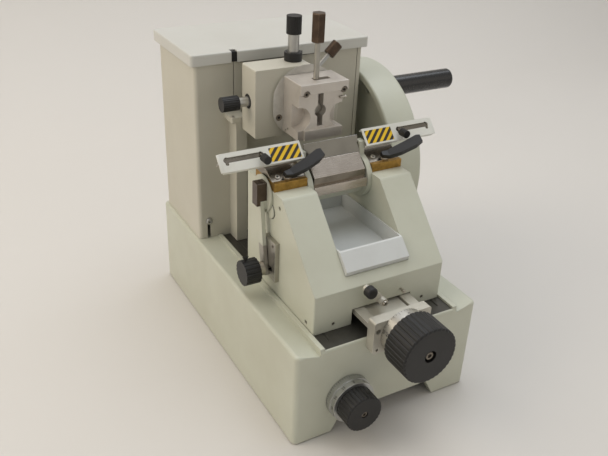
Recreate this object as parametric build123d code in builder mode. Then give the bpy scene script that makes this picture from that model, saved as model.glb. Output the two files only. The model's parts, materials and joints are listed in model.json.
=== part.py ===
"""Rotary microtome with a vertical specimen head, a sliding knife carriage and a side handwheel.

Millimetres, +Z up. The origin is the middle of the base on the bench, -Y is the operator's
side and +X is the handwheel side. Depths are counted from the front of the base.
"""

import os
from math import atan2, cos, degrees, radians, sin, sqrt, tan

from build123d import *

os.makedirs("parts", exist_ok=True)

# Base
base_width = 266
base_depth = 439
base_height = 135
base_wall = 11
base_deck = 22
pad_height = 1.6
pad_radius = 13
arch_width = 160
arch_height = 26
corner_radius = 7
channel_half = 94.6
ridge_width = 6
ridge_height = 2
dish_depth = 7
bed_thickness = 5
bed_drop = 1
bed_lip = 2.5

# Housing and lid
housing_half = 128.7
housing_front = 300
housing_back = 433
housing_wall = 4
housing_room = 6.4
lid_lap = 11.6
lid_overhang = 6.3
lid_front = 294.5
lid_back = 438.5
lid_crown = 3.2
lid_wall = 3
notch_left = -78.5
notch_width = 8.5
notch_depth = 10
cover_left = -73
cover_margin = 9.2
cover_gap = 1
cover_sheet = 3
fixing_inset = 14.7
fixing_rise = 27.6
fixing_shank = 2

# Guide column beside the head
column_left = -81
column_width = 16
column_front = 276
column_lap = 10
cap_height = 7
cap_overhang = 7

# Vertical ram, its ways and the crank inside the housing
ram_half = 30
neck_half = 23
ram_front = 314
ram_back = 326
ram_foot = 9
ram_crown = 12
stroke = 60
way_width = 12
way_lip = 8
way_over = 3
yoke_x = -8
yoke_thick = 9
yoke_wall = 5
crank_throw = 30
crank_pin = 5
crank_radius = 38
crank_left = 8
crank_thick = 10
shutter_back = 304.3
shutter_sheet = 1
shutter_lap = 4

# Specimen head
head_left = -73
head_right = 50
head_front = 234.5
head_back = 274
head_rise = 171
head_height = 91
head_chamfer = 43
pivot_x = -3.5
pivot_y = 185
pivot_rise = 45
ball_radius = 66
disc_front = 229.5
disc_flat = 45.8
cup_gap = 0.35
cavity_half = 20
core_radius = 7
core_length = 14
side_knob_y = 257
side_stem = 6.5
side_cap_radius = 9.7
side_cap_length = 23
top_knob_x = -6.5
top_knob_y = 260
top_stem = 7.4
top_stem_length = 35
top_cap_radius = 9.9
top_cap_length = 23
knob_collar = 11.8
knob_hole = 9.8
knob_seat = 12
lock_x = 24
lock_y = 255
lock_hub = 8
lock_hub_length = 13
lock_stem = 3
lock_reach = 30.5
lock_head = 7.5
lock_head_length = 18

# Specimen clamp
clamp_left = -35.4
clamp_right = 28
clamp_plate_right = 34
clamp_below = 36
clamp_above = 37.5
clamp_plate = 13
clamp_recess = 4
ledge_height = 13
bore_x = -4
bore_above = 0.4
bore_radius = 8.2
bore_depth = 29
split_width = 7.8
notch_radius = 15.5
notch_below = 8
notch_reach = 23
lever_y = 203
lever_stem = 3.6
lever_head = 9
lever_length = 119.5
lever_head_length = 36
lever_slot = 24
ledge_inset = 8
plate_screw = 4.6
plate_screw_left = 9
plate_screw_right = 6
plate_screw_seat = 4
plate_screw_drop = 12.5

# Knife carriage
carriage_half = 94
carriage_front = 31.1
carriage_back = 212
carriage_lift = 0.3
nose_hole_x = 66
nose_hole_up = 9
right_stub = 33
nose_rise = 52.7
arm_drop = 29
arm_front = 116
arm_inner = 46
tray_floor_rise = 63.3
window_left = -40
window_right = 46.5
window_rise = 21.5
window_depth = 60
slip_front = 138
slip_depth = 52
slip_height = 11
saddle_front = 144
saddle_run = 21
saddle_rise = 10

# Knife holder
tilt_y = 164
tilt_drop = 11.5
cheek_radius = 30
cheek_inner = 40
cheek_outer = 47.5
ear_width = 11
ear_rise = 47.5
seat_gap = 0.3
stub_radius = 9
knife_half = 39.5
jaw_half = 37.5
edge_y = 167
edge_rise = 54.5
knife_height = 36
knife_thick = 14
jaw_front = 139
rest_rise = 6.5
bar_depth = 4.5
bar_height = 12
plate_rise = 16.5
plate_set = 10.4
plate_edge = 1
plate_clear = 1.1
bar_drop = 11

# Clamp levers on the carriage arms
paddle_x = 72
paddle_length = 46
paddle_width = 15
paddle_thick = 6
paddle_rise = 4
paddle_climb = 23
left_turn = 9
right_turn = -9

# Edge guards
guard_length = 107
guard_start = 45.8
guard_face = 24
guard_sheet = 1.5
guard_flange = 6
guard_low_y = 150.6
guard_rise = 43.5
guard_angle = 44
guard_travel = 45
guard_pin_x = 101
guard_pin_up = 16.5
guard_pin = 1.6
guard_pin_length = 9.5
guard_slot = 6.6
guard_leg = 6
guard_knob = 5.2
guard_knob_length = 12

# Tilt lever and lock knob on the left
boss_radius = 24
boss_thick = 3
lever_out = 106
lever_width = 12
shoe_out = 111
stud_y = 141.8
stud_rise = 35.7
stud_radius = 3
scale_thick = 6
scale_width = 31
scale_height = 56
tilt_knob_radius = 16.6
tilt_knob_left = 115
tilt_knob_length = 20.5

# Waste tray
tray_half = 45.7
tray_gap = 0.2
tray_height = 25
tray_front = 40
tray_back = 201
tray_sheet = 2

# Coarse feed
feed_x = 3.5
feed_rise = 6.2
screw_radius = 6
screw_end = 130
nut_length = 24
bracket_left = -37.5
bracket_right = 45
bracket_drop = 17
bracket_rise = 28.5
bracket_thick = 14
bracket_arm = 14
bracket_reach = 64
bracket_foot = 50
bracket_foot_depth = 58
bracket_foot_thick = 4.5
feed_dial_radius = 31
feed_dial_length = 16
feed_knob_radius = 37.4
feed_knob_edge = 1.6
feed_knob_length = 39
feed_flutes = 36

# Latch on the nose of the carriage
latch_x = -8.2
latch_rise = 34.6
latch_radius = 5
latch_knob_x = -28.3
latch_knob_rise = 19.4
latch_knob_radius = 7.5

# Section thickness dial
dial_x = -59.5
dial_z = 55
dial_radius = 30
dial_length = 17
dial_knob_radius = 24.5
dial_knob_length = 24
dial_knob_edge = 1.2
dial_shaft = 6

# Handwheel and crankshaft
wheel_y = 344.5
wheel_rise = 78.7
wheel_radius = 140
wheel_gap = 1
wheel_width = 51.5
wheel_rim = 9
web_inset = 14
web_thick = 10
hub_radius = 26
hub_inset = 6
hub_length = 49
shaft_radius = 12
bearing_radius = 19
bush_flange = 9
pedestal_left = 60
pedestal_thick = 20
pedestal_width = 44
pedestal_radius = 22
nut_radius = 13
nut_thick = 9
grip_radius = 15
grip_gap = 1
grip_length = 108
grip_reach = 116.4
grip_angle = 110.1
grip_spindle = 5
running = 0.05

# Places that follow from the sizes above
front = -base_depth / 2
head_bottom = base_height + head_rise
head_top = head_bottom + head_height
pivot_z = head_bottom + pivot_rise
housing_top = head_top + housing_room
lid_low = housing_top - lid_lap
lid_top = housing_top + lid_crown
fixing_z = base_height + fixing_rise
column_top = head_bottom + column_lap
ram_bottom = head_bottom + ram_foot
ram_top = head_top - ram_crown
way_top = ram_top + way_over
clamp_bottom = pivot_z - clamp_below
clamp_top = pivot_z + clamp_above
bore_z = pivot_z + bore_above
notch_z = pivot_z - notch_below
nose_height = base_height + nose_rise
arm_top = head_bottom - arm_drop
tray_floor = base_height + tray_floor_rise
window_top = base_height + window_rise
tilt_z = arm_top - tilt_drop
ear_top = tilt_z + ear_rise
edge_z = tilt_z + edge_rise
rest_z = tilt_z + rest_rise
guard_low_z = tilt_z + guard_rise
stud_z = base_height + stud_rise
tray_low = tray_floor + tray_gap
tray_top = tray_low + tray_height
feed_z = base_height + feed_rise
bracket_bottom = base_height - bracket_drop
bracket_top = base_height + bracket_rise
latch_z = base_height + latch_rise
latch_knob_z = latch_z + latch_knob_rise
wheel_z = base_height + wheel_rise
fixing_x = -(housing_half - fixing_inset)
lid_half = housing_half + lid_overhang
cover_right = housing_half - cover_margin
wheel_left = max(base_width / 2, housing_half) + wheel_gap
web_left = wheel_left + web_inset
hub_left = wheel_left + hub_inset
hub_right = hub_left + hub_length
grip_left = hub_right + grip_gap
bed_top = base_height - bed_drop
seat = bed_top + carriage_lift
wheel_axis_y = front + wheel_y
axis_y = front + tilt_y
pad_pitch_x = base_width - 2 * pad_radius - 6
pad_pitch_y = base_depth - 2 * pad_radius - 6
slot_half = neck_half + 1
slot_bottom = ram_bottom - stroke - 5
slot_top = ram_top + 3
lock_z = head_top - (lock_x - (head_right - head_chamfer))
slip_top = arm_top + slip_height
saddle_angle = degrees(atan2(saddle_rise, saddle_run))
saddle_out = carriage_half - 0.5
window_back = carriage_front + window_depth
grip_place = (
    wheel_axis_y + grip_reach * cos(radians(grip_angle)),
    wheel_z + grip_reach * sin(radians(grip_angle)),
)


def fluted(radius, count, groove):
    """Round outline with grip grooves round its edge."""
    with BuildSketch() as outline:
        Circle(radius)
        with PolarLocations(radius + 0.35 * groove, count):
            Circle(groove, mode=Mode.SUBTRACT)
    return outline.sketch


# Base casting
with BuildPart() as base_casting:
    with BuildSketch(Plane.XY.offset(pad_height)):
        RectangleRounded(base_width, base_depth, corner_radius)
    extrude(amount=base_height - pad_height)
    fillet(base_casting.edges().group_by(Axis.Z)[-1], 4)
    # Hollow underside with a deck left above it
    with BuildSketch(Plane.XY.offset(pad_height)):
        RectangleRounded(base_width - 2 * base_wall, base_depth - 2 * base_wall, 6)
    extrude(amount=base_height - pad_height - base_deck, mode=Mode.SUBTRACT)
    # Arch between the front legs
    with BuildSketch(Plane.XZ.offset(-front + 1)):
        with Locations((0, pad_height - 1)):
            Trapezoid(arch_width, arch_height, 62, align=(Align.CENTER, Align.MIN))
    extrude(amount=-(base_wall + 2), mode=Mode.SUBTRACT)
    # The wings beside the channel sink towards the front
    for side in (-1, 1):
        inner = side * (channel_half + ridge_width)
        outer = side * (base_width / 2 - 5)
        with BuildSketch(Plane.XZ.offset(-front + 1)):
            with BuildLine():
                Polyline(
                    (inner, base_height + 4),
                    (inner, base_height - dish_depth),
                    (outer, base_height),
                    (outer, base_height + 4),
                    close=True,
                )
            make_face()
        with BuildSketch(Plane.XZ.offset(-front - housing_front + 8)):
            with BuildLine():
                Polyline(
                    (inner, base_height + 4),
                    (inner, base_height - 0.2),
                    (outer, base_height),
                    (outer, base_height + 4),
                    close=True,
                )
            make_face()
        loft(mode=Mode.SUBTRACT)
    # Ridges along the channel, then the channel for the slide bed
    with BuildSketch(Plane.XY.offset(base_height - dish_depth)):
        for side in (-1, 1):
            with Locations((side * (channel_half + ridge_width / 2), front + housing_front / 2)):
                Rectangle(ridge_width, housing_front - 2)
    extrude(amount=dish_depth + ridge_height)
    with BuildSketch(Plane.XY.offset(bed_top - bed_thickness)):
        with Locations((0, front + bed_lip)):
            Rectangle(
                2 * channel_half,
                housing_front - bed_lip,
                align=(Align.CENTER, Align.MIN),
            )
    extrude(amount=bed_thickness + ridge_height + 4, mode=Mode.SUBTRACT)
    with BuildSketch(Plane.XY.offset(bed_top)):
        with Locations((0, front - 1)):
            Rectangle(2 * channel_half, bed_lip + 2, align=(Align.CENTER, Align.MIN))
    extrude(amount=ridge_height + 4, mode=Mode.SUBTRACT)
    # Bosses for the pads
    with BuildSketch(Plane.XY.offset(pad_height)):
        with GridLocations(pad_pitch_x, pad_pitch_y, 2, 2):
            Circle(pad_radius + 2)
    extrude(amount=12)
    # Bearing hole for the thickness spindle
    with BuildSketch(Plane.XZ.offset(-front + 1)):
        with Locations((dial_x, dial_z)):
            Circle(dial_shaft + running)
    extrude(amount=-(base_wall + 2), mode=Mode.SUBTRACT)
base_casting.part.label = "base_casting"
export_step(base_casting.part, "parts/base_casting.step")

with BuildPart() as foot_pads:
    with BuildSketch():
        with GridLocations(pad_pitch_x, pad_pitch_y, 2, 2):
            Circle(pad_radius)
    extrude(amount=pad_height)
foot_pads.part.label = "foot_pads"
export_step(foot_pads.part, "parts/foot_pads.step")

with BuildPart() as slide_bed:
    with BuildSketch(Plane.XY.offset(bed_top - bed_thickness)):
        with Locations((0, front + bed_lip)):
            Rectangle(
                2 * channel_half,
                housing_front - bed_lip,
                align=(Align.CENTER, Align.MIN),
            )
    extrude(amount=bed_thickness)
    # A shallow oil groove along each side
    with BuildSketch(Plane.XY.offset(bed_top)):
        with Locations(
            (-channel_half + 14, front + housing_front / 2),
            (channel_half - 14, front + housing_front / 2),
        ):
            SlotOverall(housing_front - 30, 3, rotation=90)
    extrude(amount=-1, mode=Mode.SUBTRACT)
slide_bed.part.label = "slide_bed"
export_step(slide_bed.part, "parts/slide_bed.step")


# Housing: painted walls round an open front
with BuildPart() as housing_shell:
    with BuildSketch(Plane.XY.offset(base_height)):
        with Locations((0, front + housing_front)):
            RectangleRounded(
                2 * housing_half,
                housing_back - housing_front,
                5,
                align=(Align.CENTER, Align.MIN),
            )
    extrude(amount=housing_top - base_height)
    with BuildSketch(Plane.XY.offset(base_height)):
        with Locations((0, front + housing_front + housing_wall)):
            Rectangle(
                2 * (housing_half - housing_wall),
                housing_back - housing_front - 2 * housing_wall,
                align=(Align.CENTER, Align.MIN),
            )
    extrude(amount=housing_top - base_height, mode=Mode.SUBTRACT)
    # The front opening that the cover closes
    with BuildSketch(Plane.XY.offset(base_height)):
        with Locations((cover_left - cover_gap, front + housing_front - 1)):
            Rectangle(
                cover_right - cover_left + 2 * cover_gap,
                housing_wall + 2,
                align=(Align.MIN, Align.MIN),
            )
    extrude(amount=housing_top - base_height, mode=Mode.SUBTRACT)
    # Wheel shaft hole in the right wall
    with BuildSketch(Plane.YZ.offset(housing_half - housing_wall - 1)):
        with Locations((wheel_axis_y, wheel_z)):
            Circle(bearing_radius)
    extrude(amount=housing_wall + 2, mode=Mode.SUBTRACT)
    # Open-ended slot for the fixing screw
    with BuildSketch(Plane.XZ.offset(-front - housing_front + 1)):
        with Locations((fixing_x, base_height - 1)):
            Rectangle(2 * fixing_shank + 1, fixing_z - base_height + 1, align=(Align.CENTER, Align.MIN))
    extrude(amount=-(housing_wall + 2), mode=Mode.SUBTRACT)
housing_shell.part.label = "housing_shell"
export_step(housing_shell.part, "parts/housing_shell.step")

with BuildPart() as housing_screw:
    with BuildSketch(Plane.XZ.offset(-front - housing_front)):
        with Locations((fixing_x, fixing_z)):
            Circle(5)
    extrude(amount=3.5)
    fillet(housing_screw.edges().group_by(Axis.Y)[0], 2)
    with BuildSketch(Plane.XZ.offset(-front - housing_front + 3.5)):
        with Locations((fixing_x, fixing_z)):
            RegularPolygon(2.3, 6)
    extrude(amount=-2, mode=Mode.SUBTRACT)
housing_screw.part.label = "housing_screw"
export_step(housing_screw.part, "parts/housing_screw.step")

with BuildPart() as front_cover:
    with BuildSketch(Plane.XZ.offset(-front - housing_front)):
        with Locations((cover_left, base_height)):
            Rectangle(
                cover_right - cover_left,
                housing_top - base_height,
                align=(Align.MIN, Align.MIN),
            )
        with Locations((pivot_x, slot_bottom)):
            Rectangle(
                2 * slot_half,
                slot_top - slot_bottom,
                align=(Align.CENTER, Align.MIN),
                mode=Mode.SUBTRACT,
            )
    extrude(amount=-cover_sheet)
front_cover.part.label = "front_cover"
export_step(front_cover.part, "parts/front_cover.step")

with BuildPart() as top_lid:
    with BuildSketch(Plane.XY.offset(lid_low)):
        with Locations((0, front + lid_front)):
            RectangleRounded(2 * lid_half, lid_back - lid_front, 5, align=(Align.CENTER, Align.MIN))
    extrude(amount=lid_top - lid_low)
    fillet(top_lid.edges().group_by(Axis.Z)[-1], 2)
    with BuildSketch(Plane.XY.offset(lid_low)):
        with Locations((0, front + lid_front + lid_wall)):
            Rectangle(
                2 * (lid_half - lid_wall),
                lid_back - lid_front - 2 * lid_wall,
                align=(Align.CENTER, Align.MIN),
            )
    extrude(amount=housing_top - lid_low, mode=Mode.SUBTRACT)
    # Notch in the front lip, left of the head
    with BuildSketch(Plane.XY.offset(lid_low - 1)):
        with Locations((notch_left, front + lid_front - 1)):
            Rectangle(notch_width, notch_depth + 1, align=(Align.MIN, Align.MIN))
    extrude(amount=lid_top - lid_low + 2, mode=Mode.SUBTRACT)
top_lid.part.label = "top_lid"
export_step(top_lid.part, "parts/top_lid.step")


# Guide column on the left of the head, with its cap
with BuildPart() as guide_column:
    with BuildSketch(Plane.XY.offset(bed_top)):
        with Locations((column_left, front + column_front)):
            Rectangle(
                column_width,
                housing_front - column_front,
                align=(Align.MIN, Align.MIN),
            )
    extrude(amount=column_top - bed_top)
    with BuildSketch(Plane.YZ.offset(column_left + column_width - 3)):
        with Locations((front + column_front + 6, bed_top + 20)):
            Rectangle(5, column_top - bed_top - 40, align=(Align.MIN, Align.MIN))
    extrude(amount=4, mode=Mode.SUBTRACT)
guide_column.part.label = "guide_column"
export_step(guide_column.part, "parts/guide_column.step")

with BuildPart() as column_cap:
    with BuildSketch(Plane.XY.offset(column_top)):
        with Locations((column_left - cap_overhang, front + column_front - 1)):
            Rectangle(
                column_width + cap_overhang,
                housing_front - column_front + 1,
                align=(Align.MIN, Align.MIN),
            )
    extrude(amount=cap_height)
    fillet(column_cap.edges().filter_by(Axis.Z).group_by(Axis.Y)[0], 2)
column_cap.part.label = "column_cap"
export_step(column_cap.part, "parts/column_cap.step")


# Ways, ram and yoke inside the housing
with BuildPart() as ram_ways:
    with BuildSketch(Plane.XY.offset(base_height)):
        for side in (-1, 1):
            with BuildLine():
                Polyline(
                    (pivot_x + side * (neck_half + running), front + ram_front - way_lip),
                    (pivot_x + side * (ram_half + way_width), front + ram_front - way_lip),
                    (pivot_x + side * (ram_half + way_width), front + ram_back),
                    (pivot_x + side * (ram_half + running), front + ram_back),
                    (pivot_x + side * (ram_half + running), front + ram_front - running),
                    (pivot_x + side * (neck_half + running), front + ram_front - running),
                    close=True,
                )
            make_face()
    extrude(amount=way_top - base_height)
ram_ways.part.label = "ram_ways"
export_step(ram_ways.part, "parts/ram_ways.step")

with BuildPart() as ram:
    # Neck through the cover's slot
    with BuildSketch(Plane.XZ.offset(-front - head_back)):
        with Locations((pivot_x, ram_bottom)):
            Rectangle(2 * neck_half, ram_top - ram_bottom, align=(Align.CENTER, Align.MIN))
    extrude(amount=-(ram_front - head_back))
    with BuildSketch(Plane.XZ.offset(-front - ram_front)):
        with Locations((pivot_x, ram_bottom)):
            Rectangle(2 * ram_half, ram_top - ram_bottom, align=(Align.CENTER, Align.MIN))
    extrude(amount=-(ram_back - ram_front))
    # Yoke hanging behind the ram, its slot level with the crank pin at the top
    with BuildSketch(Plane.YZ.offset(yoke_x)):
        with Locations((wheel_axis_y, wheel_z + crank_throw)):
            SlotOverall(
                2 * (crank_throw + crank_pin + yoke_wall),
                2 * (crank_pin + yoke_wall),
            )
        with Locations((front + ram_back, wheel_z + crank_throw)):
            Rectangle(22, ram_bottom + 20 - wheel_z - crank_throw, align=(Align.MIN, Align.MIN))
        with Locations((wheel_axis_y, wheel_z + crank_throw)):
            SlotOverall(
                2 * crank_throw + 2 * crank_pin + 0.4,
                2 * crank_pin + 0.4,
                mode=Mode.SUBTRACT,
            )
    extrude(amount=yoke_thick)
ram.part.label = "ram"
export_step(ram.part, "parts/ram.step")

# Thin shutter on the ram's neck that closes the cover's slot from behind
with BuildPart() as slot_shutter:
    with BuildSketch(Plane.XZ.offset(-front - shutter_back)):
        with Locations((pivot_x, slot_bottom - shutter_lap)):
            Rectangle(
                2 * (slot_half + shutter_lap),
                slot_top - slot_bottom + 2 * shutter_lap,
                align=(Align.CENTER, Align.MIN),
            )
        with Locations((pivot_x, ram_bottom - running)):
            Rectangle(
                2 * (neck_half + running),
                ram_top - ram_bottom + 2 * running,
                align=(Align.CENTER, Align.MIN),
                mode=Mode.SUBTRACT,
            )
    extrude(amount=shutter_sheet)
slot_shutter.part.label = "slot_shutter"
export_step(slot_shutter.part, "parts/slot_shutter.step")


# Specimen head with a round cup for the tilting disc
with BuildPart() as head_block:
    with BuildSketch(Plane.XZ.offset(-front - head_back)):
        with BuildLine():
            Polyline(
                (head_left, head_bottom),
                (head_right, head_bottom),
                (head_right, head_top - head_chamfer),
                (head_right - head_chamfer, head_top),
                (head_left, head_top),
                close=True,
            )
        make_face()
    extrude(amount=head_back - head_front)
    fillet(head_block.edges().filter_by(Axis.Y), 2)
    # Cup round the tilt centre and the space behind it
    with Locations((pivot_x, front + pivot_y, pivot_z)):
        Sphere(ball_radius + cup_gap, mode=Mode.SUBTRACT)
    with BuildSketch(Plane.XZ.offset(-front - head_back + 6)):
        with Locations((pivot_x, pivot_z)):
            Rectangle(2 * cavity_half, 2 * cavity_half)
    extrude(amount=head_back - pivot_y - ball_radius + 2, mode=Mode.SUBTRACT)
    # Pocket for the lock lever's hub
    with BuildSketch(Plane.XZ.offset(-front - lock_y - lock_hub_length / 2 - 0.5)):
        with Locations((lock_x, lock_z)):
            Circle(lock_hub + seat_gap)
    extrude(amount=lock_hub_length + 1, mode=Mode.SUBTRACT)
    # Holes for the two orientation knobs
    with BuildSketch(Plane.YZ.offset(head_left - 1)):
        with Locations((front + side_knob_y, pivot_z)):
            Circle(knob_hole)
    extrude(amount=knob_seat + 1, mode=Mode.SUBTRACT)
    with BuildSketch(Plane.XY.offset(head_top - knob_seat)):
        with Locations((top_knob_x, front + top_knob_y)):
            Circle(top_stem + running)
    extrude(amount=knob_seat + 1, mode=Mode.SUBTRACT)
head_block.part.label = "head_block"
export_step(head_block.part, "parts/head_block.step")

with BuildPart() as tilt_core:
    # Hollow front that rides on the disc's round back
    with BuildSketch(Plane.XZ.offset(-front - pivot_y - ball_radius + 3)):
        with Locations((pivot_x, pivot_z)):
            Circle(core_radius)
    extrude(amount=-core_length)
    with Locations((pivot_x, front + pivot_y, pivot_z)):
        Sphere(ball_radius + seat_gap, mode=Mode.SUBTRACT)
tilt_core.part.label = "tilt_core"
export_step(tilt_core.part, "parts/tilt_core.step")

with BuildPart() as tilt_disc:
    with Locations((pivot_x, front + pivot_y, pivot_z)):
        Sphere(ball_radius)
    with BuildSketch(Plane.XZ.offset(-front - disc_front)):
        with Locations((pivot_x, pivot_z)):
            Rectangle(3 * ball_radius, 3 * ball_radius)
    extrude(amount=3 * ball_radius, mode=Mode.SUBTRACT)
    # Flat on the left side
    with BuildSketch(Plane.XZ.offset(-front - disc_front)):
        with Locations((pivot_x - disc_flat, pivot_z)):
            Rectangle(disc_flat, 2 * disc_flat, align=(Align.MAX, Align.CENTER))
    extrude(amount=-(head_front - disc_front - 0.4), mode=Mode.SUBTRACT)
tilt_disc.part.label = "tilt_disc"
export_step(tilt_disc.part, "parts/tilt_disc.step")

# Orientation knobs: one out of the side, one out of the top
with BuildPart() as side_knob:
    with BuildSketch(Plane.YZ.offset(head_left - side_stem - 8)):
        with Locations((front + side_knob_y, pivot_z)):
            Circle(side_stem)
    extrude(amount=side_stem + 8 + 2)
    with BuildSketch(Plane.YZ.offset(head_left + 1.5)):
        with Locations((front + side_knob_y, pivot_z)):
            Circle(knob_hole - running)
    extrude(amount=knob_seat - 1.5)
side_knob.part.label = "side_knob_stem"
export_step(side_knob.part, "parts/side_knob_stem.step")

with BuildPart() as side_knob_cap:
    with BuildSketch(Plane.YZ.offset(head_left - side_stem - 8)):
        with Locations((front + side_knob_y, pivot_z)):
            add(fluted(side_cap_radius, 20, 0.8))
    extrude(amount=-side_cap_length)
side_knob_cap.part.label = "side_knob_cap"
export_step(side_knob_cap.part, "parts/side_knob_cap.step")

with BuildPart() as top_knob:
    with BuildSketch(Plane.XY.offset(head_top - knob_seat)):
        with Locations((top_knob_x, front + top_knob_y)):
            Circle(top_stem)
    extrude(amount=knob_seat + top_stem_length)
top_knob.part.label = "top_knob_stem"
export_step(top_knob.part, "parts/top_knob_stem.step")

with BuildPart() as top_knob_cap:
    with BuildSketch(Plane.XY.offset(head_top + top_stem_length)):
        with Locations((top_knob_x, front + top_knob_y)):
            add(fluted(top_cap_radius, 22, 0.8))
    extrude(amount=top_cap_length)
top_knob_cap.part.label = "top_knob_cap"
export_step(top_knob_cap.part, "parts/top_knob_cap.step")

with BuildPart() as knob_index:
    with BuildSketch(Plane.XY.offset(head_top + 0.2)):
        with Locations((top_knob_x, front + top_knob_y)):
            Circle(knob_collar)
            Circle(top_stem, mode=Mode.SUBTRACT)
        with Locations((top_knob_x + knob_collar, front + top_knob_y)):
            Circle(1.6)
    extrude(amount=11.3)
    fillet(knob_index.edges().group_by(Axis.Z)[-1], 0.6)
knob_index.part.label = "knob_index"
export_step(knob_index.part, "parts/knob_index.step")

# Lock lever: a hub half sunk in the chamfer and a stem square to it
lock_plane = Plane(
    origin=(lock_x, front + lock_y, lock_z),
    x_dir=(0, 1, 0),
    z_dir=(1, 0, 1),
)
with BuildPart() as lock_lever:
    with BuildSketch(Plane.XZ.offset(-front - lock_y - lock_hub_length / 2)):
        with Locations((lock_x, lock_z)):
            Circle(lock_hub)
    extrude(amount=lock_hub_length)
    with BuildSketch(lock_plane):
        Circle(lock_stem)
    extrude(amount=lock_reach)
    with BuildSketch(lock_plane.offset(lock_reach)):
        RegularPolygon(lock_head, 6)
    extrude(amount=lock_head_length)
lock_lever.part.label = "lock_lever"
export_step(lock_lever.part, "parts/lock_lever.step")


# Specimen clamp
with BuildPart() as clamp_body:
    with BuildSketch(Plane.XZ.offset(-front - disc_front)):
        with Locations((clamp_left, clamp_bottom)):
            Rectangle(
                clamp_right - clamp_left,
                clamp_top - clamp_plate - clamp_bottom,
                align=(Align.MIN, Align.MIN),
            )
    extrude(amount=disc_front - pivot_y - clamp_recess)
    # Top plate and bottom ledge stand forward of the body
    with BuildSketch(Plane.XZ.offset(-front - disc_front)):
        with Locations((clamp_left, clamp_top - clamp_plate)):
            Rectangle(
                clamp_plate_right - clamp_left,
                clamp_plate,
                align=(Align.MIN, Align.MIN),
            )
        with Locations((clamp_left + ledge_inset, clamp_bottom)):
            Rectangle(
                clamp_right - clamp_left - ledge_inset,
                ledge_height,
                align=(Align.MIN, Align.MIN),
            )
    extrude(amount=disc_front - pivot_y)
    chamfer(clamp_body.faces().sort_by(Axis.Z)[-1].outer_wire().edges(), 0.8)
    # Round notches in both flanks
    with BuildSketch(Plane.XZ.offset(-front - pivot_y + 1)):
        with Locations((clamp_left + 2, notch_z), (clamp_right - 2, notch_z)):
            Circle(notch_radius)
    extrude(amount=-notch_reach, mode=Mode.SUBTRACT)
    # Bore and split that grip the specimen, open to the front
    with BuildSketch(Plane.XZ.offset(-front - pivot_y + 1)):
        with Locations((bore_x, bore_z)):
            Circle(bore_radius)
        with Locations((bore_x, clamp_bottom + ledge_height + 3)):
            Rectangle(
                split_width,
                clamp_top - clamp_plate - clamp_bottom - ledge_height - 3,
                align=(Align.CENTER, Align.MIN),
            )
    extrude(amount=-bore_depth, mode=Mode.SUBTRACT)
    # Slot in the top for the lever's swing
    with BuildSketch(Plane.XY.offset(clamp_top + 1)):
        with Locations((bore_x - lever_stem - 1, front + lever_y)):
            Rectangle(lever_slot, 2 * lever_stem + 1.6, align=(Align.MIN, Align.CENTER))
    extrude(amount=-(clamp_top + 1 - bore_z), mode=Mode.SUBTRACT)
    # Counterbores of the two plate screws
    with BuildSketch(Plane.XZ.offset(-front - pivot_y + 1)):
        with Locations(
            (clamp_left + plate_screw_left, clamp_top - plate_screw_drop),
            (clamp_plate_right - plate_screw_right, clamp_top - plate_screw_drop),
        ):
            Circle(plate_screw)
    extrude(amount=-plate_screw_seat - 1, mode=Mode.SUBTRACT)
clamp_body.part.label = "clamp_body"
export_step(clamp_body.part, "parts/clamp_body.step")

with BuildPart() as clamp_lever:
    with BuildSketch(Plane.XZ.offset(-front - lever_y - lever_stem)):
        with Locations((bore_x, bore_z)):
            Circle(bore_radius - 0.6)
    extrude(amount=2 * lever_stem)
    with BuildSketch(Plane.XY.offset(bore_z)):
        with Locations((bore_x, front + lever_y)):
            Circle(lever_stem)
    extrude(amount=lever_length - lever_head_length)
clamp_lever.part.label = "clamp_lever"
export_step(clamp_lever.part, "parts/clamp_lever.step")

with BuildPart() as clamp_lever_head:
    with BuildSketch(Plane.XY.offset(bore_z + lever_length - lever_head_length)):
        with Locations((bore_x, front + lever_y)):
            RegularPolygon(lever_head, 6)
    extrude(amount=lever_head_length)
    chamfer(clamp_lever_head.edges().group_by(Axis.Z)[-1], 1)
    chamfer(clamp_lever_head.edges().group_by(Axis.Z)[0], 1.4)
clamp_lever_head.part.label = "clamp_lever_head"
export_step(clamp_lever_head.part, "parts/clamp_lever_head.step")


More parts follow.
